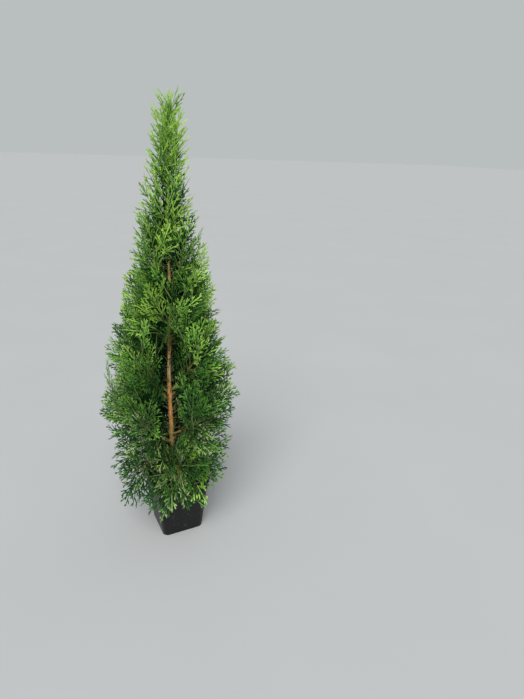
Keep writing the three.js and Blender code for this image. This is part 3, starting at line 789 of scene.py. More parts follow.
def in_space(points, space):
    """Whether each point keeps to the space of a mass."""
    height, radius, turn = about_trunk(points)
    trunk_tip = GROUND + TRUNK_LENGTH
    cone = LEADER_CONE + LEADER_SLOPE * (height - trunk_tip)
    inside = (height <= CROWN_TOP) & (radius <= crown_radius(height, turn))
    inside &= (radius >= trunk_radius(height) + LIMB_CLEAR) | (height >= trunk_tip + LIMB_CLEAR)
    if space["leader"]:
        return inside & (height > trunk_tip) & (radius < cone - SPACE_CLEAR)
    inside &= (height <= trunk_tip - LEADER_CONE) | (radius >= cone + SPACE_CLEAR)
    inside &= off_pot(points)
    inside &= height <= space["roof"][0] + space["roof"][1] * radius - SPACE_CLEAR
    inside &= height >= space["floor"][0] + space["floor"][1] * radius + SPACE_CLEAR
    aside = np.abs(bearing_between(np.degrees(turn), space["middle"]))
    to_side = radius * np.sin(np.radians(space["half"] - aside))
    inside &= (aside <= space["half"]) & (to_side > SPACE_CLEAR)
    if space["window"]:
        to_window = np.abs(bearing_between(np.degrees(turn), WINDOW_TURN))
        inside &= (to_window >= 90) | (radius * np.sin(np.radians(to_window)) >= WINDOW_HALF)
    return inside


# The first sprays of a mass are those of its solid. They leave the stem turn by turn and the stem ends in a
# fork, and a spray that would leave its space or come too near another is drawn smaller or left out. A twig
# tries these turns about the stem, each with its angle from it.
TWIG_RADIUS = 0.75
TWIG_TURN = 137.5
MASS_TURN = 61
TWIG_TRIES = [(0, 42), (40, 34), (-40, 34), (90, 28), (-90, 28), (180, 42)]
TWIG_PLACES = (0.5, 0.2)
TWIG_LENGTHS = (1.15, 0.5)
TWIG_VARIES = 0.2
FORK_ANGLE = 34
FORK_PLACE = 0.88
FORK_TWIG = 0.6
TIP_TWIG = 2
SPRAY_TWIST = 60
LENGTH_VARIES = 0.12
BLADE_OUTLINE = np.array([
    (0.1, -0.025), (0.36, -0.24), (0.38, -0.07), (0.63, -0.22), (0.59, -0.06),
    (0.84, -0.15), (0.78, -0.04), (1, 0), (0.72, 0.045), (0.75, 0.18),
    (0.51, 0.065), (0.51, 0.24), (0.33, 0.07), (0.25, 0.21), (0.07, 0.025),
])
BLADE_CREST = 0.36
MIDRIB = np.array([0.25, 0.45, 0.65, 0.85])
EDGE_MARKS = (0.33, 0.67)
TWIG_MARKS = np.array([0.5, 0.8, 1])
BLADE_THICK = 0.024
BLADE_SIZES = (1.15, 1, 0.85, 0.7, 0.6)
BLADE_APART = 0.085


def on_spray(spray, along, aside):
    """Points in the plane of a spray, as shares of the length of its blade."""
    across = np.cross(spray["normal"], spray["ahead"]) * spray["side"]
    along = spray["twig"] + np.asarray(along) * spray["length"]
    return spray["root"] + np.multiply.outer(along, spray["ahead"]) + np.multiply.outer(
        np.asarray(aside) * spray["length"], across)


def spray_samples(spray):
    """Points on a spray's edges, crests and twig, to test it by."""
    outline = on_spray(spray, BLADE_OUTLINE[:, 0], BLADE_OUTLINE[:, 1])
    crest = on_spray(spray, BLADE_CREST, 0)
    half = spray["normal"] * BLADE_THICK * spray["length"] / 2
    steps = np.diff(outline, axis=0)
    edges = [outline[:-1] + share * steps for share in EDGE_MARKS]
    twig = spray["root"] + np.multiply.outer(TWIG_MARKS * spray["twig"], spray["ahead"])
    return np.concatenate([outline, [crest + half, crest - half], *edges, twig])


def blade_points(spray):
    """Points on the outline and down the middle of a spray's blade."""
    outline = on_spray(spray, BLADE_OUTLINE[:, 0], BLADE_OUTLINE[:, 1])
    return np.concatenate([outline, on_spray(spray, MIDRIB, 0 * MIDRIB)])


def fits(spray, space, limbs):
    """Whether a spray keeps to its space and stays clear of the mass's own bough."""
    samples = spray_samples(spray)
    if not in_space(samples, space).all():
        return False
    if not len(limbs):
        return True
    return np.linalg.norm(samples[:, None] - limbs, axis=2).min() > BOUGH_RADIUS + LIMB_CLEAR


def sized_spray(spray, space, limbs, taken):
    """The largest size of a spray that keeps to the space, and apart from the sprays already there."""
    for size in BLADE_SIZES:
        sized = dict(spray, size=size, length=spray["length"] * size)
        clear = BLADE_APART * space["blade"]
        points = blade_points(sized)
        if len(taken) and np.linalg.norm(points[:, None] - taken, axis=2).min() <= clear:
            continue
        if fits(sized, space, limbs):
            return sized
    return None


def beside(ahead, roll):
    """A direction square to another: level, then turned about it by a roll in degrees."""
    level, lift = square_to(ahead)
    c, s = cos_sin(roll)
    return level * c + lift * s


def branch_from(ahead, angle, roll):
    """A direction bent away from another by an angle, towards a roll about it, in degrees."""
    c, s = cos_sin(angle)
    return unit(ahead * c + beside(ahead, roll) * s)


def turned_about(vector, axis, angle):
    """A vector turned about an axis by an angle in degrees."""
    c, s = cos_sin(angle)
    return vector * c + np.cross(axis, vector) * s + axis * np.dot(axis, vector) * (1 - c)


def side_spray(space, curve, share, k, turn, angle):
    """A spray that leaves the stem at a share of its curve, in its own turn about the stem."""
    number = space["number"]
    base = branch_from(curve.ahead(share), angle, number * MASS_TURN + k * TWIG_TURN + turn)
    ahead = unit(base + UP * space["lift"])
    normal = beside(ahead, SPRAY_TWIST * spread(7, number, k))
    longest, shorter = TWIG_LENGTHS
    twig = space["twig"] * (longest - shorter * (k / space["twigs"]))
    twig *= 1 + TWIG_VARIES * spread(6, number, k)
    length = space["blade"] * (1 + LENGTH_VARIES * spread(8, number, k))
    side = 1 if k % 2 else -1
    return dict(root=curve.at(share), ahead=ahead, normal=normal, twig=twig, length=length, side=side)


def first_sprays(space, curve, start, limbs):
    """The sprays of the mass's solid. They leave the stem turn by turn, and the stem ends in a fork."""
    sprays = []
    number = space["number"]

    def taken():
        return np.concatenate([blade_points(spray) for spray in sprays]) if sprays else ()

    ahead = curve.ahead(1.0)
    normal = beside(ahead, SPRAY_TWIST * spread(9, number))
    fork_side = 1 if number % 2 else -1
    for place, way in ((1.0, 0), (FORK_PLACE, fork_side)):
        turned = turned_about(ahead, normal, FORK_ANGLE * way)
        root = curve.at(place) - (TWIG_RADIUS * turned if way == 0 else 0)
        length = space["blade"] * (1 + LENGTH_VARIES * spread(10, number, way))
        twig = TIP_TWIG if way == 0 else FORK_TWIG * space["twig"]
        spray = dict(root=root, ahead=turned, normal=normal, twig=twig, length=length, side=fork_side)
        sized = sized_spray(spray, space, limbs, taken())
        sprays += [sized] if sized else []
    first, beyond = TWIG_PLACES
    for k in range(space["twigs"]):
        share = start + (1 - start) * ((k + first) / (space["twigs"] + beyond))
        tries = [sized_spray(side_spray(space, curve, share, k, turn, angle), space, limbs, taken())
                 for turn, angle in TWIG_TRIES]
        tries = [spray for spray in tries if spray]
        if tries:
            sprays.append(max(tries, key=lambda spray: spray["size"]))
    return sprays


# A spray's axis is a slow curve. Low down and outside the pot it droops under its own weight.
AXIS_BENDS = (0.08, 0.07)
AXIS_SAGS = (-0.02, 0.03)
DROOP = 0.13
DROOP_VARIES = (0.4, 1.3)
DROOP_ARCH = 0.3
DROOP_TOP = 300
DROOP_FADE = 120
DROOP_FROM_MIDDLE = 58
DROOP_GROWS = 25


def spray_axis(spray, pick):
    """The three points of a spray's curved axis."""
    whole = spray["twig"] + spray["length"]
    end = spray["root"] + spray["ahead"] * whole
    across = np.cross(spray["normal"], spray["ahead"])
    over, aside = AXIS_BENDS
    middle = spray["root"] + spray["ahead"] * whole / 2
    middle = (middle + spray["normal"] * whole * pick.uniform(-over, over)
              + across * whole * pick.uniform(-aside, aside))
    outside = np.clip((np.abs(end[:2]).max() - DROOP_FROM_MIDDLE) / DROOP_GROWS, 0, 1)
    outside = outside * np.clip((DROOP_TOP - end[2]) / DROOP_FADE, 0, 1)
    sag = pick.uniform(*AXIS_SAGS) - DROOP * outside * pick.uniform(*DROOP_VARIES)
    return spray["root"], middle + UP * whole * DROOP_ARCH * DROOP * outside, end + UP * whole * sag


# Finer sprays leave the same stems and the first sprays. Of many tries, those are kept that lie furthest from
# the sprays already there. All of them stay inside the crown, off the pot, and clear of the lines of sight to
# the bare trunk: for each, its lowest and highest height on the trunk and half its width.
FILL_TRIES = 420
FILL_ROUND = 5
FILL_FROM_STEM = 3
FILL_CROWD = 0.8
FILL_SIZES = (1, 0.82, 0.66)
FILL_ANGLES = (18, 64)
FILL_TWIGS = (0.4, 1.8)
FILL_LENGTHS = (0.6, 1.0)
FILL_TWIST = 80
FILL_ON_STEM = 0.6
FILL_ON_SPRAY = (-0.1, 0.5)
FILL_REACH = 1.03
TOP_REACH = 0.2
TOP_FROM = 590
TOP_SPAN = 50
VIEWS = ((150, 284, 7.5), (300, 328, 6), (420, 446, 4))
EYE_HEIGHT = 596
EYE_AWAY = 730
FAR = 1e3
MARKS = np.array([0.2, 0.5, 0.8, 1])


def in_crown(points):
    """Whether each point keeps inside the crown, off the pot and out of the open views of the stem."""
    height, radius, turn = about_trunk(points)
    reach = FILL_REACH + TOP_REACH * np.clip((height - TOP_FROM) / TOP_SPAN, 0, 1)
    inside = (height <= CROWN_TOP) & (height >= LOWEST_TIP) & off_pot(points)
    inside &= radius <= reach * crown_radius(height, turn)
    from_view = np.radians(bearing_between(np.degrees(turn), WINDOW_TURN))
    hidden = height - radius * np.cos(from_view) * (EYE_HEIGHT - height) / EYE_AWAY
    aside = np.where(np.cos(from_view) > 0, np.abs(radius * np.sin(from_view)), FAR)
    for low, high, half in VIEWS:
        inside &= (aside > half) | (hidden < low) | (hidden > high)
    return inside


def fitted(tries):
    """Each try at the largest size at which it keeps inside the crown, without those that never do."""
    chosen = []
    for size in FILL_SIZES:
        sized = [dict(spray, length=spray["length"] * size) for spray in tries]
        samples = np.array([spray_samples(spray)[:-len(TWIG_MARKS)] for spray in sized])
        inside = in_crown(samples.reshape(-1, 3)).reshape(samples.shape[:2]).all(axis=1)
        chosen += [spray for spray, good in zip(sized, inside) if good]
        tries = [spray for spray, good in zip(tries, inside) if not good]
    return chosen


def spread_out(tries, sprays, count):
    """The tries that lie furthest from the sprays already there and from one another."""
    if not tries:
        return []
    marks = np.array([on_spray(spray, MARKS, 0 * MARKS) for spray in tries])
    nearest = np.full(len(tries), FAR)
    others = [on_spray(spray, MARKS, 0 * MARKS) for spray in sprays]
    kept = []
    for step in range(len(others) + min(count, len(tries))):
        if step < len(others):
            own = others[step]
        else:
            best = int(np.argmax(nearest))
            kept.append(tries[best])
            own = marks[best]
            nearest[best] = -1
        apart = np.linalg.norm(marks[:, :, None] - own, axis=3).min(axis=2).mean(axis=1)
        nearest = np.minimum(nearest, apart)
    return kept


def open_spray(root, ahead, twist, i, twig, length):
    """A try for a finer spray, with its flat side turned by a twist."""
    return dict(root=root, ahead=ahead, normal=beside(ahead, twist), side=1 - 2 * (i % 2),
                twig=twig, length=length)


def fill_tries(space, curve, start, sprays):
    """Many finer sprays that could leave the stem of a mass or its first sprays."""
    pick = np.random.default_rng(700 + space["number"])
    for i in range(FILL_TRIES):
        if i % FILL_ROUND < FILL_FROM_STEM or not sprays:
            share = start * FILL_ON_STEM + (1 - start * FILL_ON_STEM) * pick.random() ** FILL_CROWD
            root = curve.at(share)
            base = curve.ahead(share)
        else:
            carrier = sprays[pick.integers(len(sprays))]
            whole = carrier["twig"] + carrier["length"]
            share = (carrier["twig"] + pick.uniform(*FILL_ON_SPRAY) * carrier["length"]) / whole
            root, further = on_curve(carrier["axis"], [share, share + 0.05])
            base = unit(further - root)
        ahead = branch_from(base, pick.uniform(*FILL_ANGLES), pick.uniform(0, 360))
        ahead = unit(ahead + UP * space["lift"])
        twist = pick.uniform(-FILL_TWIST, FILL_TWIST)
        twig = space["twig"] * pick.uniform(*FILL_TWIGS)
        yield open_spray(root, ahead, twist, i, twig, space["blade"] * pick.uniform(*FILL_LENGTHS))


# Shoots leave the trunk itself: short ones between its boughs, long ones behind its bare front that turn
# their flat side forward and close the crown, and crowded young ones round its top, where two lead. For each
# of the two: its bearing, its rise and its length.
LOW_SHOOTS = dict(count=270, tries=8 * 270, seed=650, heights=(112, 612), crowd=0.85,
                  rises=((18, 62), (18, 62)), twigs=(3, 22), lengths=(24, 50))
SPIRE_SHOOTS = dict(count=76, tries=4 * 76, seed=610, heights=(548, 634), crowd=1,
                    rises=((62, 84), (34, 62)), twigs=(1, 5), lengths=(18, 34))
BACK_SHOOTS = dict(count=60, tries=5 * 60, seed=630, heights=(118, 330), turns=(80, 280), rises=(30, 74),
                   twigs=(3, 12), lengths=(32, 56))
FRONT_RISE = 25
LEADING_SHOOTS = ((152.3, 61, 34), (-27.7, 69, 35))
LEADING_HEIGHT = 633
LEADING_TWIG = 2


def shoot_tries(kind):
    """Shoots that could leave the trunk, turn by turn and at two rises by turns."""
    pick = np.random.default_rng(kind["seed"])
    low, high = kind["heights"]
    for i in range(kind["tries"]):
        root = trunk_at(low + (high - low) * pick.random() ** kind["crowd"])
        ahead = direction(i * TWIG_TURN, pick.uniform(*kind["rises"][i % 2]))
        twist = pick.uniform(-FILL_TWIST, FILL_TWIST)
        twig = pick.uniform(*kind["twigs"])
        yield open_spray(root, ahead, twist, i, twig, pick.uniform(*kind["lengths"]))


def facing(ahead, front):
    """The normal of a spray that turns its flat side to a direction as far as it can."""
    return unit(front - np.dot(front, ahead) * ahead)


def back_tries(kind):
    """Shoots that could stand behind the trunk, with their flat side to its bare front."""
    pick = np.random.default_rng(kind["seed"])
    front = direction(WINDOW_TURN, FRONT_RISE)
    for i in range(kind["tries"]):
        turn = WINDOW_TURN + pick.uniform(*kind["turns"])
        ahead = direction(turn, pick.uniform(*kind["rises"]))
        root = trunk_at(pick.uniform(*kind["heights"]))
        twig = pick.uniform(*kind["twigs"])
        yield dict(root=root, ahead=ahead, normal=facing(ahead, front), side=1 - 2 * (i % 2), twig=twig,
                   length=pick.uniform(*kind["lengths"]))


def leading_shoots():
    """The two shoots that lead the spire, a little apart."""
    for turn, rise, length in LEADING_SHOOTS:
        yield open_spray(trunk_at(LEADING_HEIGHT), direction(turn, rise), FILL_TWIST, 0, LEADING_TWIG, length)


# The sprays at the stem's foot arch over the rim of the pot and hang down in front of it. For each: its
# bearing, the height of its root, the reach and height of its end, and whether it is painted lit, with
# lighter tints that stand for light falling on it.
FOOT_SPRAYS = [
    (292, 132, 88, 76, False), (312, 136, 80, 118, False), (272, 132, 76, 178, True),
    (284, 128, 80, 168, True), (238, 138, 76, 146, True), (258, 140, 52, 112, False),
    (254, 128, 75, 72, False), (228, 134, 64, 92, False), (270, 134, 66, 100, False),
]
FOOT_FRONT_RISE = 35
FOOT_ARCH = 0.22
FOOT_TWIG = 0.3


def foot_sprays():
    """The coarse sprays in front of the stem's foot."""
    front = direction(WINDOW_TURN, FOOT_FRONT_RISE)
    for i, (turn, height, reach, low, bright) in enumerate(FOOT_SPRAYS):
        root = trunk_at(height)
        end = trunk_at(low) + reach * direction(turn, 0)
        whole = np.linalg.norm(end - root)
        ahead = (end - root) / whole
        axis = (root, (root + end) / 2 + UP * FOOT_ARCH * whole, end)
        yield dict(root=root, ahead=ahead, normal=facing(ahead, front), side=1 - 2 * (i % 2), axis=axis,
                   twig=FOOT_TWIG * whole, length=(1 - FOOT_TWIG) * whole, open=0, bright=bright)


GAP = 0.3
BOUGH_MARKS = np.arange(12) / 12
LEADER_STEM = 14
LEADER = dict(leader=True, number=90, label="leader", twigs=7, twig=4, lift=0.3, blade=29, bough=0, fill=12,
              open=1, window=False)
trunk_tip = GROUND + TRUNK_LENGTH
leader_foot = trunk_at(trunk_tip + GAP)
leader_tip = trunk_at(trunk_tip + LEADER_STEM)
leader_curve = Curve(leader_foot, (leader_foot + leader_tip) / 2, leader_tip)
masses = []
for space in SPACES + [LEADER]:
    curve = leader_curve if space["leader"] else growth_curve(space)
    start = curve.share_at(space["bough"] + GAP) if space["bough"] else 0
    limbs = curve.at(start * BOUGH_MARKS) if start > 0 else ()
    sprays = first_sprays(space, curve, start, limbs)
    bend = np.random.default_rng(77 + space["number"])
    for spray in sprays:
        spray["axis"] = spray_axis(spray, bend)
    tries = fitted([*fill_tries(space, curve, start, sprays)])
    masses.append((space, curve, start, sprays + spread_out(tries, sprays, space["fill"])))
mass_sprays = [spray for *_, sprays in masses for spray in sprays]
shoots = spread_out(fitted([*shoot_tries(LOW_SHOOTS)]), mass_sprays, LOW_SHOOTS["count"])
shoots += spread_out(fitted([*back_tries(BACK_SHOOTS)]), shoots, BACK_SHOOTS["count"])
spire = spread_out(fitted([*shoot_tries(SPIRE_SHOOTS)]), [], SPIRE_SHOOTS["count"])
spire += leading_shoots()


# Stems and twigs
# Each stem goes on from its bough or the trunk and tapers to its fork, and each spray has a round twig that
# runs into its leafy axis. They are brown and olive low down, and green where they are this year's.
STEM_RADII = {"bough": BOUGH_TIP_RADIUS * BOUGH_GIRTH, "trunk": 1.25, "leader": 0.8}
STEM_TAPER = 0.8
STEM_OVERLAP = 0.02
STEM_RINGS = 22
STEM_SIDES = 8
TWIG_TIP = 0.45
TWIG_REACH = 0.3
TWIG_RINGS = 6
TWIG_SIDES = 5
SHOOTS_OPEN_FROM = 400
SHOOTS_OPEN_OVER = 200
SPIRE_OPEN = 0.8
BARE_DEPTH = 0.0002
STEM_BROWN = (0.3, 0.16, 0.055, 1)
STEM_OLIVE = (0.17, 0.17, 0.045, 1)
TWIG_OLIVE = (0.09, 0.1, 0.03, 1)
TWIG_GREEN = (0.14, 0.22, 0.075, 1)
NEW_GREEN = (0.15, 0.33, 0.04, 1)
NEW_HEIGHTS = (0.3, 0.56)

stems = []
for space, curve, start, sprays in masses:
    shares = np.linspace(max(0, start - STEM_OVERLAP), 1, STEM_RINGS)
    thick = STEM_RADII["leader" if space["leader"] else "bough" if space["bough"] else "trunk"]
    run = (shares - shares[0]) / (1 - shares[0])
    radii = thick + (STEM_TIP_RADIUS - thick) * run ** STEM_TAPER
    stems.append(tube(curve.at(shares) * MM, radii * MM, STEM_SIDES))
    for spray in sprays:
        spray["open"] = space["open"]
for spray in shoots:
    spray["open"] = float(np.clip((spray["root"][2] - SHOOTS_OPEN_FROM) / SHOOTS_OPEN_OVER, 0, 1))
for spray in spire:
    spray["open"] = SPIRE_OPEN
all_sprays = [*mass_sprays, *shoots, *spire, *foot_sprays()]
pick = np.random.default_rng(77)
twigs = []
for spray in all_sprays:
    if "axis" not in spray:
        spray["axis"] = spray_axis(spray, pick)
    reach = (spray["twig"] + TWIG_REACH * spray["length"]) / (spray["twig"] + spray["length"])
    line = on_curve(spray["axis"], np.linspace(0, reach, TWIG_RINGS))
    twigs.append(tube(line * MM, np.linspace(TWIG_RADIUS, TWIG_TIP, TWIG_RINGS) * MM, TWIG_SIDES))


def make_twig_finish(name, first, second):
    """Thin young bark in patches of two tones, which turns green with height."""
    finish, wire = new_finish(name, {"Specular IOR Level": 0.3})
    patch = wire.noise(60, 4, 0.6)
    new = wire.height().clip(*NEW_HEIGHTS)
    feed(finish, Base_Color=new.blend(patch.clip(0.4, 0.6).blend(first, second), NEW_GREEN))
    feed(finish, Roughness=0.55 + 0.25 * patch)
    feed(finish, Normal=wire.noise(1800, 3, 0.6).bump(BARE_DEPTH))
    return finish


mass_nodes = [f"foliage_{space['label']}" for space, *_ in masses]
for name, tubes, first, second in (("stems", stems, STEM_BROWN, STEM_OLIVE),
                                   ("twigs", twigs, TWIG_OLIVE, TWIG_GREEN)):
    piece = mesh_piece(name, *joined(tubes))
    piece.data.shade_smooth()
    wear(piece, make_twig_finish(f"young_{name}", first, second), "bough_bark", *mass_nodes)


# Sprays
# Each spray is drawn as it grows: the leafy axis, branchlets on alternate sides that sweep forward, and
# fans of finer ones on the longest. Each is a flat three-sided strip, notched where the pairs of scale
# leaves overlap, and blunt at its end. Near the top they are sparser, and on the skirt coarser.
BRANCH_APART = 5.6
BRANCH_SHARE = 0.43
BRANCH_ANGLE = 44
BRANCH_TIP_ANGLE = 30
BRANCH_VARIES = (0.7, 1.2)
BRANCH_SWINGS = 7
APART_VARIES = (0.9, 1.15)
FIRST_PLACE = (0.3, 0.9)
PLACE_VARIES = 0.15
BARE_SHARE = 0.7
ROUNDNESS = (1.7, 0.75)
LOW_SHORTER = 0.6
FINE_APART = 4.6
FINE_SHARE = 0.55
FINE_ANGLE = 38
FINE_SWINGS = 8
FINE_FROM = 8
SPRAY_MIDDLE = 0.6
SPRAY_TILT = 0.15
FINE_TILT = 0.2
SHORTEST = 3.4
SWEEP = (0.52, 0.86, 0.28)
SWEEP_LIFT = 0.12
HALF_WIDTHS = (0.78, 0.82, 0.92)
LEAF_PITCH = 2.9
LEAF_NOTCH = 0.74
LEAF_RIDGE = 0.42
LEAF_TAPER = (0.64, 0.48)
LEAF_END = 0.6
MOST_RINGS = 60
ZONES = (0.3, 0.66)
OPEN_APART = 0.55
OPEN_SHORTER = 0.35
SKIRT_TOP = 170
SKIRT_FADE = 45
SKIRT_APART = 0.3
SKIRT_FINE_APART = 0.55
SKIRT_FINE_LONGER = 0.3
SKIRT_WIDER = (0.35, 0.5)


def along_curve(points, shares):
    """The directions of a curve of three points at shares of it."""
    start, control, end = points
    shares = shares[:, None]
    return unit((1 - shares) * (control - start) + shares * (end - control))


def side_branches(points, places, lengths, angles, normals, sides, pick):
    """Curves that leave another on alternate sides, in the plane of their spray, and sweep forward."""
    base = on_curve(points, places)
    ahead = along_curve(points, places)
    across = unit(np.cross(normals, ahead)) * sides[:, None]
    out = ahead * np.cos(np.radians(angles))[:, None] + across * np.sin(np.radians(angles))[:, None]
    lengths = lengths[:, None]
    lift = normals * pick.uniform(-SWEEP_LIFT, SWEEP_LIFT, (len(base), 1)) * lengths
    to_control, to_end, forward = SWEEP
    end = base + out * lengths * to_end + ahead * lengths * forward + lift
    return base, base + out * lengths * to_control, end


def fern(spray, pick):
    """All the branchlets of a spray: start, control and end points, normals and half widths."""
    whole = spray["twig"] + spray["length"]
    normal = unit(spray["normal"] + pick.uniform(-SPRAY_TILT, SPRAY_TILT, 3))
    axis = [np.asarray(point)[None] for point in spray["axis"]]
    coarse = float(np.clip((SKIRT_TOP - on_spray(spray, SPRAY_MIDDLE, 0)[2]) / SKIRT_FADE, 0, 1))
    parts = [(*axis, normal[None], np.array([HALF_WIDTHS[0]]))]
    apart = BRANCH_APART * (1 + OPEN_APART * spray["open"] + SKIRT_APART * coarse)
    apart *= pick.uniform(*APART_VARIES)
    fine_apart = FINE_APART * (1 + SKIRT_FINE_APART * coarse)
    first_place = spray["twig"] * BARE_SHARE + apart * pick.uniform(*FIRST_PLACE)
    places = np.arange(first_place, whole - SHORTEST, apart)
    places = places + apart * pick.uniform(-PLACE_VARIES, PLACE_VARIES, len(places))
    sides = np.where(np.arange(len(places)) % 2, 1.0, -1.0) * spray["side"]
    share = np.clip((places - spray["twig"]) / spray["length"], -1, 1)
    lengths = spray["length"] * BRANCH_SHARE * (1 - np.abs(share) ** ROUNDNESS[0]) ** ROUNDNESS[1]
    lengths = lengths * (1 - OPEN_SHORTER * spray["open"])
    lengths = np.where(share < 0, lengths * (1 + LOW_SHORTER * share), lengths)
    lengths = lengths * pick.uniform(*BRANCH_VARIES, len(places))
    keep = lengths > SHORTEST
    places, sides, share, lengths = places[keep], sides[keep], share[keep], lengths[keep]
    count = len(places)
    angles = BRANCH_ANGLE + (BRANCH_TIP_ANGLE - BRANCH_ANGLE) * np.clip(share, 0, 1)
    angles = angles + pick.uniform(-BRANCH_SWINGS, BRANCH_SWINGS, count)
    normals = np.repeat(normal[None], count, 0)
    own_axis = [point[0] for point in axis]
    branches = side_branches(own_axis, places / whole, lengths, angles, normals, sides, pick)
    parts.append((*branches, normals, np.full(count, (1 + SKIRT_WIDER[0] * coarse) * HALF_WIDTHS[1])))
    for i in np.flatnonzero(lengths > FINE_FROM):
        places = np.arange(fine_apart * pick.uniform(0.6, 1), lengths[i] - SHORTEST * 0.5, fine_apart)
        places = places / lengths[i]
        fine_lengths = lengths[i] * FINE_SHARE * (1 - places) ** 0.5
        fine_lengths = fine_lengths * pick.uniform(*BRANCH_VARIES, len(places))
        fine_lengths *= 1 + SKIRT_FINE_LONGER * coarse
        keep = fine_lengths > SHORTEST
        places, fine_lengths = places[keep], fine_lengths[keep]
        count = len(places)
        if not count:
            continue
        normals = np.repeat(unit(normal + pick.uniform(-FINE_TILT, FINE_TILT, 3))[None], count, 0)
        angles = FINE_ANGLE + pick.uniform(-FINE_SWINGS, FINE_SWINGS, count)
        sides = np.where((np.arange(count) + i) % 2, 1.0, -1.0)
        branch = [points[i] for points in branches]
        fine = side_branches(branch, places, fine_lengths, angles, normals, sides, pick)
        parts.append((*fine, normals, np.full(count, (1 + SKIRT_WIDER[1] * coarse) * HALF_WIDTHS[2])))
    return [np.concatenate(group) for group in zip(*parts)]


def leafy_strips(starts, controls, ends, normals, halves, zone):
    """Closed three-sided strips along curves, as points and faces: their first, middle or end lengths."""
    lengths = np.linalg.norm(ends - starts, axis=1)
    rings = np.clip(np.rint(lengths / LEAF_PITCH), 2, MOST_RINGS).astype(int)
    strips = []
    for ring_count in np.unique(rings):
        chosen = rings == ring_count
        cuts = (0, math.floor(ZONES[0] * ring_count), round(ZONES[1] * ring_count), ring_count)
        steps = np.arange(cuts[zone], cuts[zone + 1] + 1)
        if len(steps) < 2:
            continue
        shares = steps / ring_count
        curve = starts[chosen, None], controls[chosen, None], ends[chosen, None]
        middles = on_curve(curve, shares)
        ahead = along_curve(curve, shares)
        level = unit(np.cross(normals[chosen, None], ahead))
        lift = np.cross(ahead, level)
        taper = (LEAF_TAPER[0] + LEAF_TAPER[1] * shares) * np.where(steps == ring_count, LEAF_END, 1)
        half = halves[chosen, None, None] * taper[:, None] * np.where(steps % 2, 1, LEAF_NOTCH)[:, None]
        ridge = middles + lift * half * LEAF_RIDGE
        corners = np.stack([middles + level * half, ridge, middles - level * half], 2)
        starts_at = 3 * len(steps) * np.arange(len(corners))
        faces = tube_faces(len(steps) - 1, 3) + starts_at[:, None, None]
        strips.append((corners.reshape(-1, 3), faces.reshape(-1, 3)))
    return joined(strips)


# Each spray is dealt a tint by how far out and how high it is, with a random share. This is painted shade and
# light: the sprays inside and low in the crown get dark tints that stand for shade, those outside and near
# the top get lighter ones that stand for light on them. Its branchlets turn lighter towards their ends, most
# of all on the outside, partly for this year's growth and partly as painted light on the outer tips, and low
# down some
# ends are pale. What has one tint is joined, whatever masses it grows on, and cut into pieces. For each tint:
# light, dark, and its sheen, of which the shaded tints have little or none.
TINTS = [
    ("deep_green", (0.007, 0.028, 0.009, 1), (0.004, 0.016, 0.009, 1), 0),
    ("dark_green", (0.02, 0.07, 0.014, 1), (0.011, 0.044, 0.014, 1), 0.05),
    ("mid_green", (0.049, 0.143, 0.022, 1), (0.028, 0.092, 0.022, 1), 0.1),
    ("bright_green", (0.14, 0.31, 0.036, 1), (0.085, 0.225, 0.034, 1), 0.24),
    ("young_green", (0.34, 0.54, 0.085, 1), (0.22, 0.42, 0.055, 1), 0.32),
    ("pale_green", (0.31, 0.41, 0.16, 1), (0.19, 0.3, 0.1, 1), 0.3),
]
MID, BRIGHT, YOUNG, PALE = 2, 3, 4, 5
TINT_STEPS = (0.74, 1.05, 1.33, 1.62)
TINT_BY_HEIGHT = 0.95
TINT_SHIFT = -0.25
TINT_VARIES = 0.2
SPIRE_OUT = 0.72
SPIRE_OUT_FROM = 500
SPIRE_OUT_OVER = 110
LIGHTER_FROM = (0.35, 0.6)
ZONE_COUNT = len(LIGHTER_FROM) + 1
YOUNG_AND_LIT_FROM = 270
PALE_SHARE = 0.35
FOOT_YOUNG_SHARE = 0.3
LEAF_IOR = 1.42
LEAF_DEPTH = 0.00035
PIECE_LIMIT = 190000


def make_leaf_finish(name, light, dark, sheen):
    """Scale leaves in soft patches from light to dark, with a fine grain."""
    finish, wire = new_finish(name, {"Specular IOR Level": sheen, "IOR": LEAF_IOR})
    patch = wire.noise(26, 3, 0.6)
    feed(finish, Base_Color=patch.clip(0.38, 0.62).blend(light, dark))
    feed(finish, Roughness=0.42 + 0.25 * patch)
    feed(finish, Normal=wire.noise(700, 2, 0.5).bump(LEAF_DEPTH))
    return finish


def zone_tints(spray, pick):
    """The tints of the first, middle and end lengths of a spray's branchlets: darker as painted shade inside
    and low down, lighter as painted light outside and high up.
    """
    middle = on_spray(spray, SPRAY_MIDDLE, 0)
    x, y = (middle - trunk_at(middle[2]))[:2]
    out = math.hypot(x, y) / crown_radius(middle[2], math.atan2(y, x))
    high = (middle[2] - GROUND) / (CROWN_TOP - GROUND)
    # Painted light: sprays near the top count as far out, so they get the lighter, lit tints.
    out = max(out, SPIRE_OUT * float(np.clip((middle[2] - SPIRE_OUT_FROM) / SPIRE_OUT_OVER, 0, 1)))
    # Painted shade and light: the further in and the lower a spray sits, the darker its tint.
    score = out + TINT_BY_HEIGHT * high + TINT_SHIFT + TINT_VARIES * pick.standard_normal()
    first = int(np.searchsorted(TINT_STEPS, score))
    # Painted shade: low in the crown the lightest tint is bright green, not the young and lit one.
    lightest = BRIGHT if middle[2] < YOUNG_AND_LIT_FROM else YOUNG
    # Outer sprays get lighter ends: partly this year's growth, partly painted light on the outer tips.
    steps = [int(out > start) for start in LIGHTER_FROM]
    return first, min(first + steps[0], lightest), min(first + sum(steps), lightest)


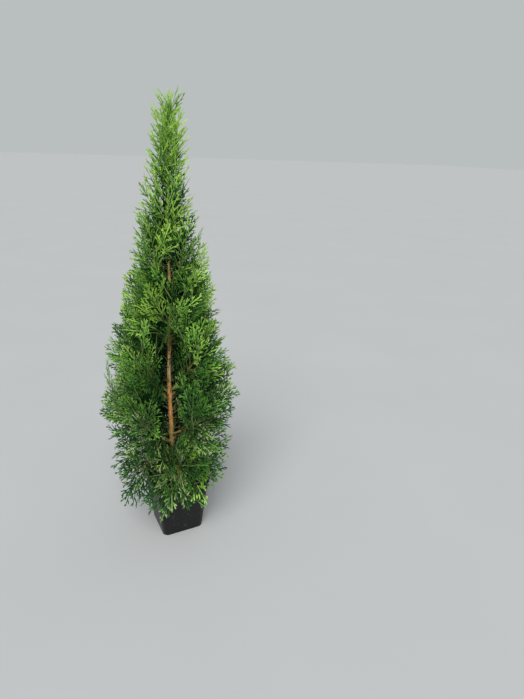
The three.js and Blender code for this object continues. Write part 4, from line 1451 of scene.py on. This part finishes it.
pick = np.random.default_rng(90)
dealt = {tint: [] for tint in range(len(TINTS))}
for spray in all_sprays:
    first, second, ends = zone_tints(spray, pick)
    branches = fern(spray, pick)
    # Painted light: the lit foot sprays get the bright and young tints, the others start at mid green.
    if "bright" in spray:
        first = BRIGHT if spray["bright"] else MID
        second = min(first + 1, YOUNG)
        ends = YOUNG if pick.random() < FOOT_YOUNG_SHARE else PALE
    elif on_spray(spray, SPRAY_MIDDLE, 0)[2] < YOUNG_AND_LIT_FROM and ends == BRIGHT and pick.random() < PALE_SHARE:
        ends = PALE
    for zone, tint in enumerate((first, second, ends)):
        dealt[tint].append((branches, zone))
for tint, (name, light, dark, sheen) in enumerate(TINTS):
    finish = make_leaf_finish(name, light, dark, sheen)
    strips = []
    for zone in range(ZONE_COUNT):
        groups = [branches for branches, own in dealt[tint] if own == zone]
        if groups:
            strips.append(leafy_strips(*[np.concatenate(group) for group in zip(*groups)], zone))
    points, faces = joined(strips)
    for part, own in enumerate(np.array_split(faces, math.ceil(len(faces) / PIECE_LIMIT))):
        used, own = np.unique(own, return_inverse=True)
        piece = mesh_piece(f"sprays_{name}_{part + 1}", points[used] * MM, own.reshape(-1, 3))
        wear(piece, finish, "foliage", *mass_nodes)


# Floor, light and camera
# A plain pale floor and plain soft light, from high up on the front left and from a pale sky. The camera
# stands in front on the left as well, and looks down a little.
FLOOR_WIDTH = 60
FLOOR_CUTS = 8
FLOOR_TONE = (0.4, 0.41, 0.42, 1)
FLOOR_PALE = (0.43, 0.44, 0.45, 1)
SKY_TONE = (0.87, 0.92, 0.93, 1)
SKY_POWER = 0.56
LIGHT_AIM = (0, 0, 0.35)
SENSOR = 36
LENS = 515 / 699 * SENSOR
CAMERA_PLACE = (-0.216, -0.698, 0.596)
CAMERA_TURN = -27.7
CAMERA_PITCH = 21.2
CAMERA_ROLL = 2.3


def soft_light(name, kind, place, power, tone, **settings):
    """A lamp at a place, which faces the crown."""
    lamp = bpy.data.lights.new(name, kind)
    lamp.energy = power
    lamp.color = tone
    for setting, value in settings.items():
        setattr(lamp, setting, value)
    holder = bpy.data.objects.new(name, lamp)
    holder.location = place
    holder.rotation_euler = (Vector(LIGHT_AIM) - Vector(place)).to_track_quat("-Z", "Y").to_euler()
    bpy.context.scene.collection.objects.link(holder)


floor = start_piece("floor", bpy.ops.mesh.primitive_grid_add, x_subdivisions=FLOOR_CUTS,
                    y_subdivisions=FLOOR_CUTS, size=FLOOR_WIDTH, location=(0, 0, 0))
floor_finish, floor_wire = new_finish("pale_floor", {"Roughness": 0.85})
feed(floor_finish, Base_Color=floor_wire.noise(3, 3).clip(0, 1).blend(FLOOR_TONE, FLOOR_PALE))
floor.data.materials.append(floor_finish)
soft_light("daylight", "SUN", place=(-0.6, -0.9, 1.6), power=3.1, tone=(1, 0.98, 0.94),
           angle=math.radians(40))
soft_light("front_fill", "AREA", place=(-0.9, -1.9, 1.2), power=7, tone=(0.93, 0.97, 1), size=1.4)
world = bpy.data.worlds.new("sky")
world.use_nodes = True
world.node_tree.nodes["Background"].inputs["Color"].default_value = SKY_TONE
world.node_tree.nodes["Background"].inputs["Strength"].default_value = SKY_POWER
bpy.context.scene.world = world
bpy.context.scene.view_settings.view_transform = "Standard"

turn, pitch, roll = (math.radians(angle) for angle in (CAMERA_TURN, CAMERA_PITCH, CAMERA_ROLL))
back = Vector((math.sin(turn) * math.cos(pitch), -math.cos(turn) * math.cos(pitch), math.sin(pitch)))
right = Vector((math.cos(turn), math.sin(turn), 0))
tilted_right = right * math.cos(roll) + back.cross(right) * math.sin(roll)
camera_frame = Matrix((tilted_right, back.cross(tilted_right), back)).transposed().to_4x4()
camera_frame.translation = CAMERA_PLACE
camera_data = bpy.data.cameras.new("camera")
camera_data.lens = LENS
camera_data.sensor_width = SENSOR
camera = bpy.data.objects.new("camera", camera_data)
camera.matrix_world = camera_frame
bpy.context.scene.collection.objects.link(camera)
bpy.context.scene.camera = camera
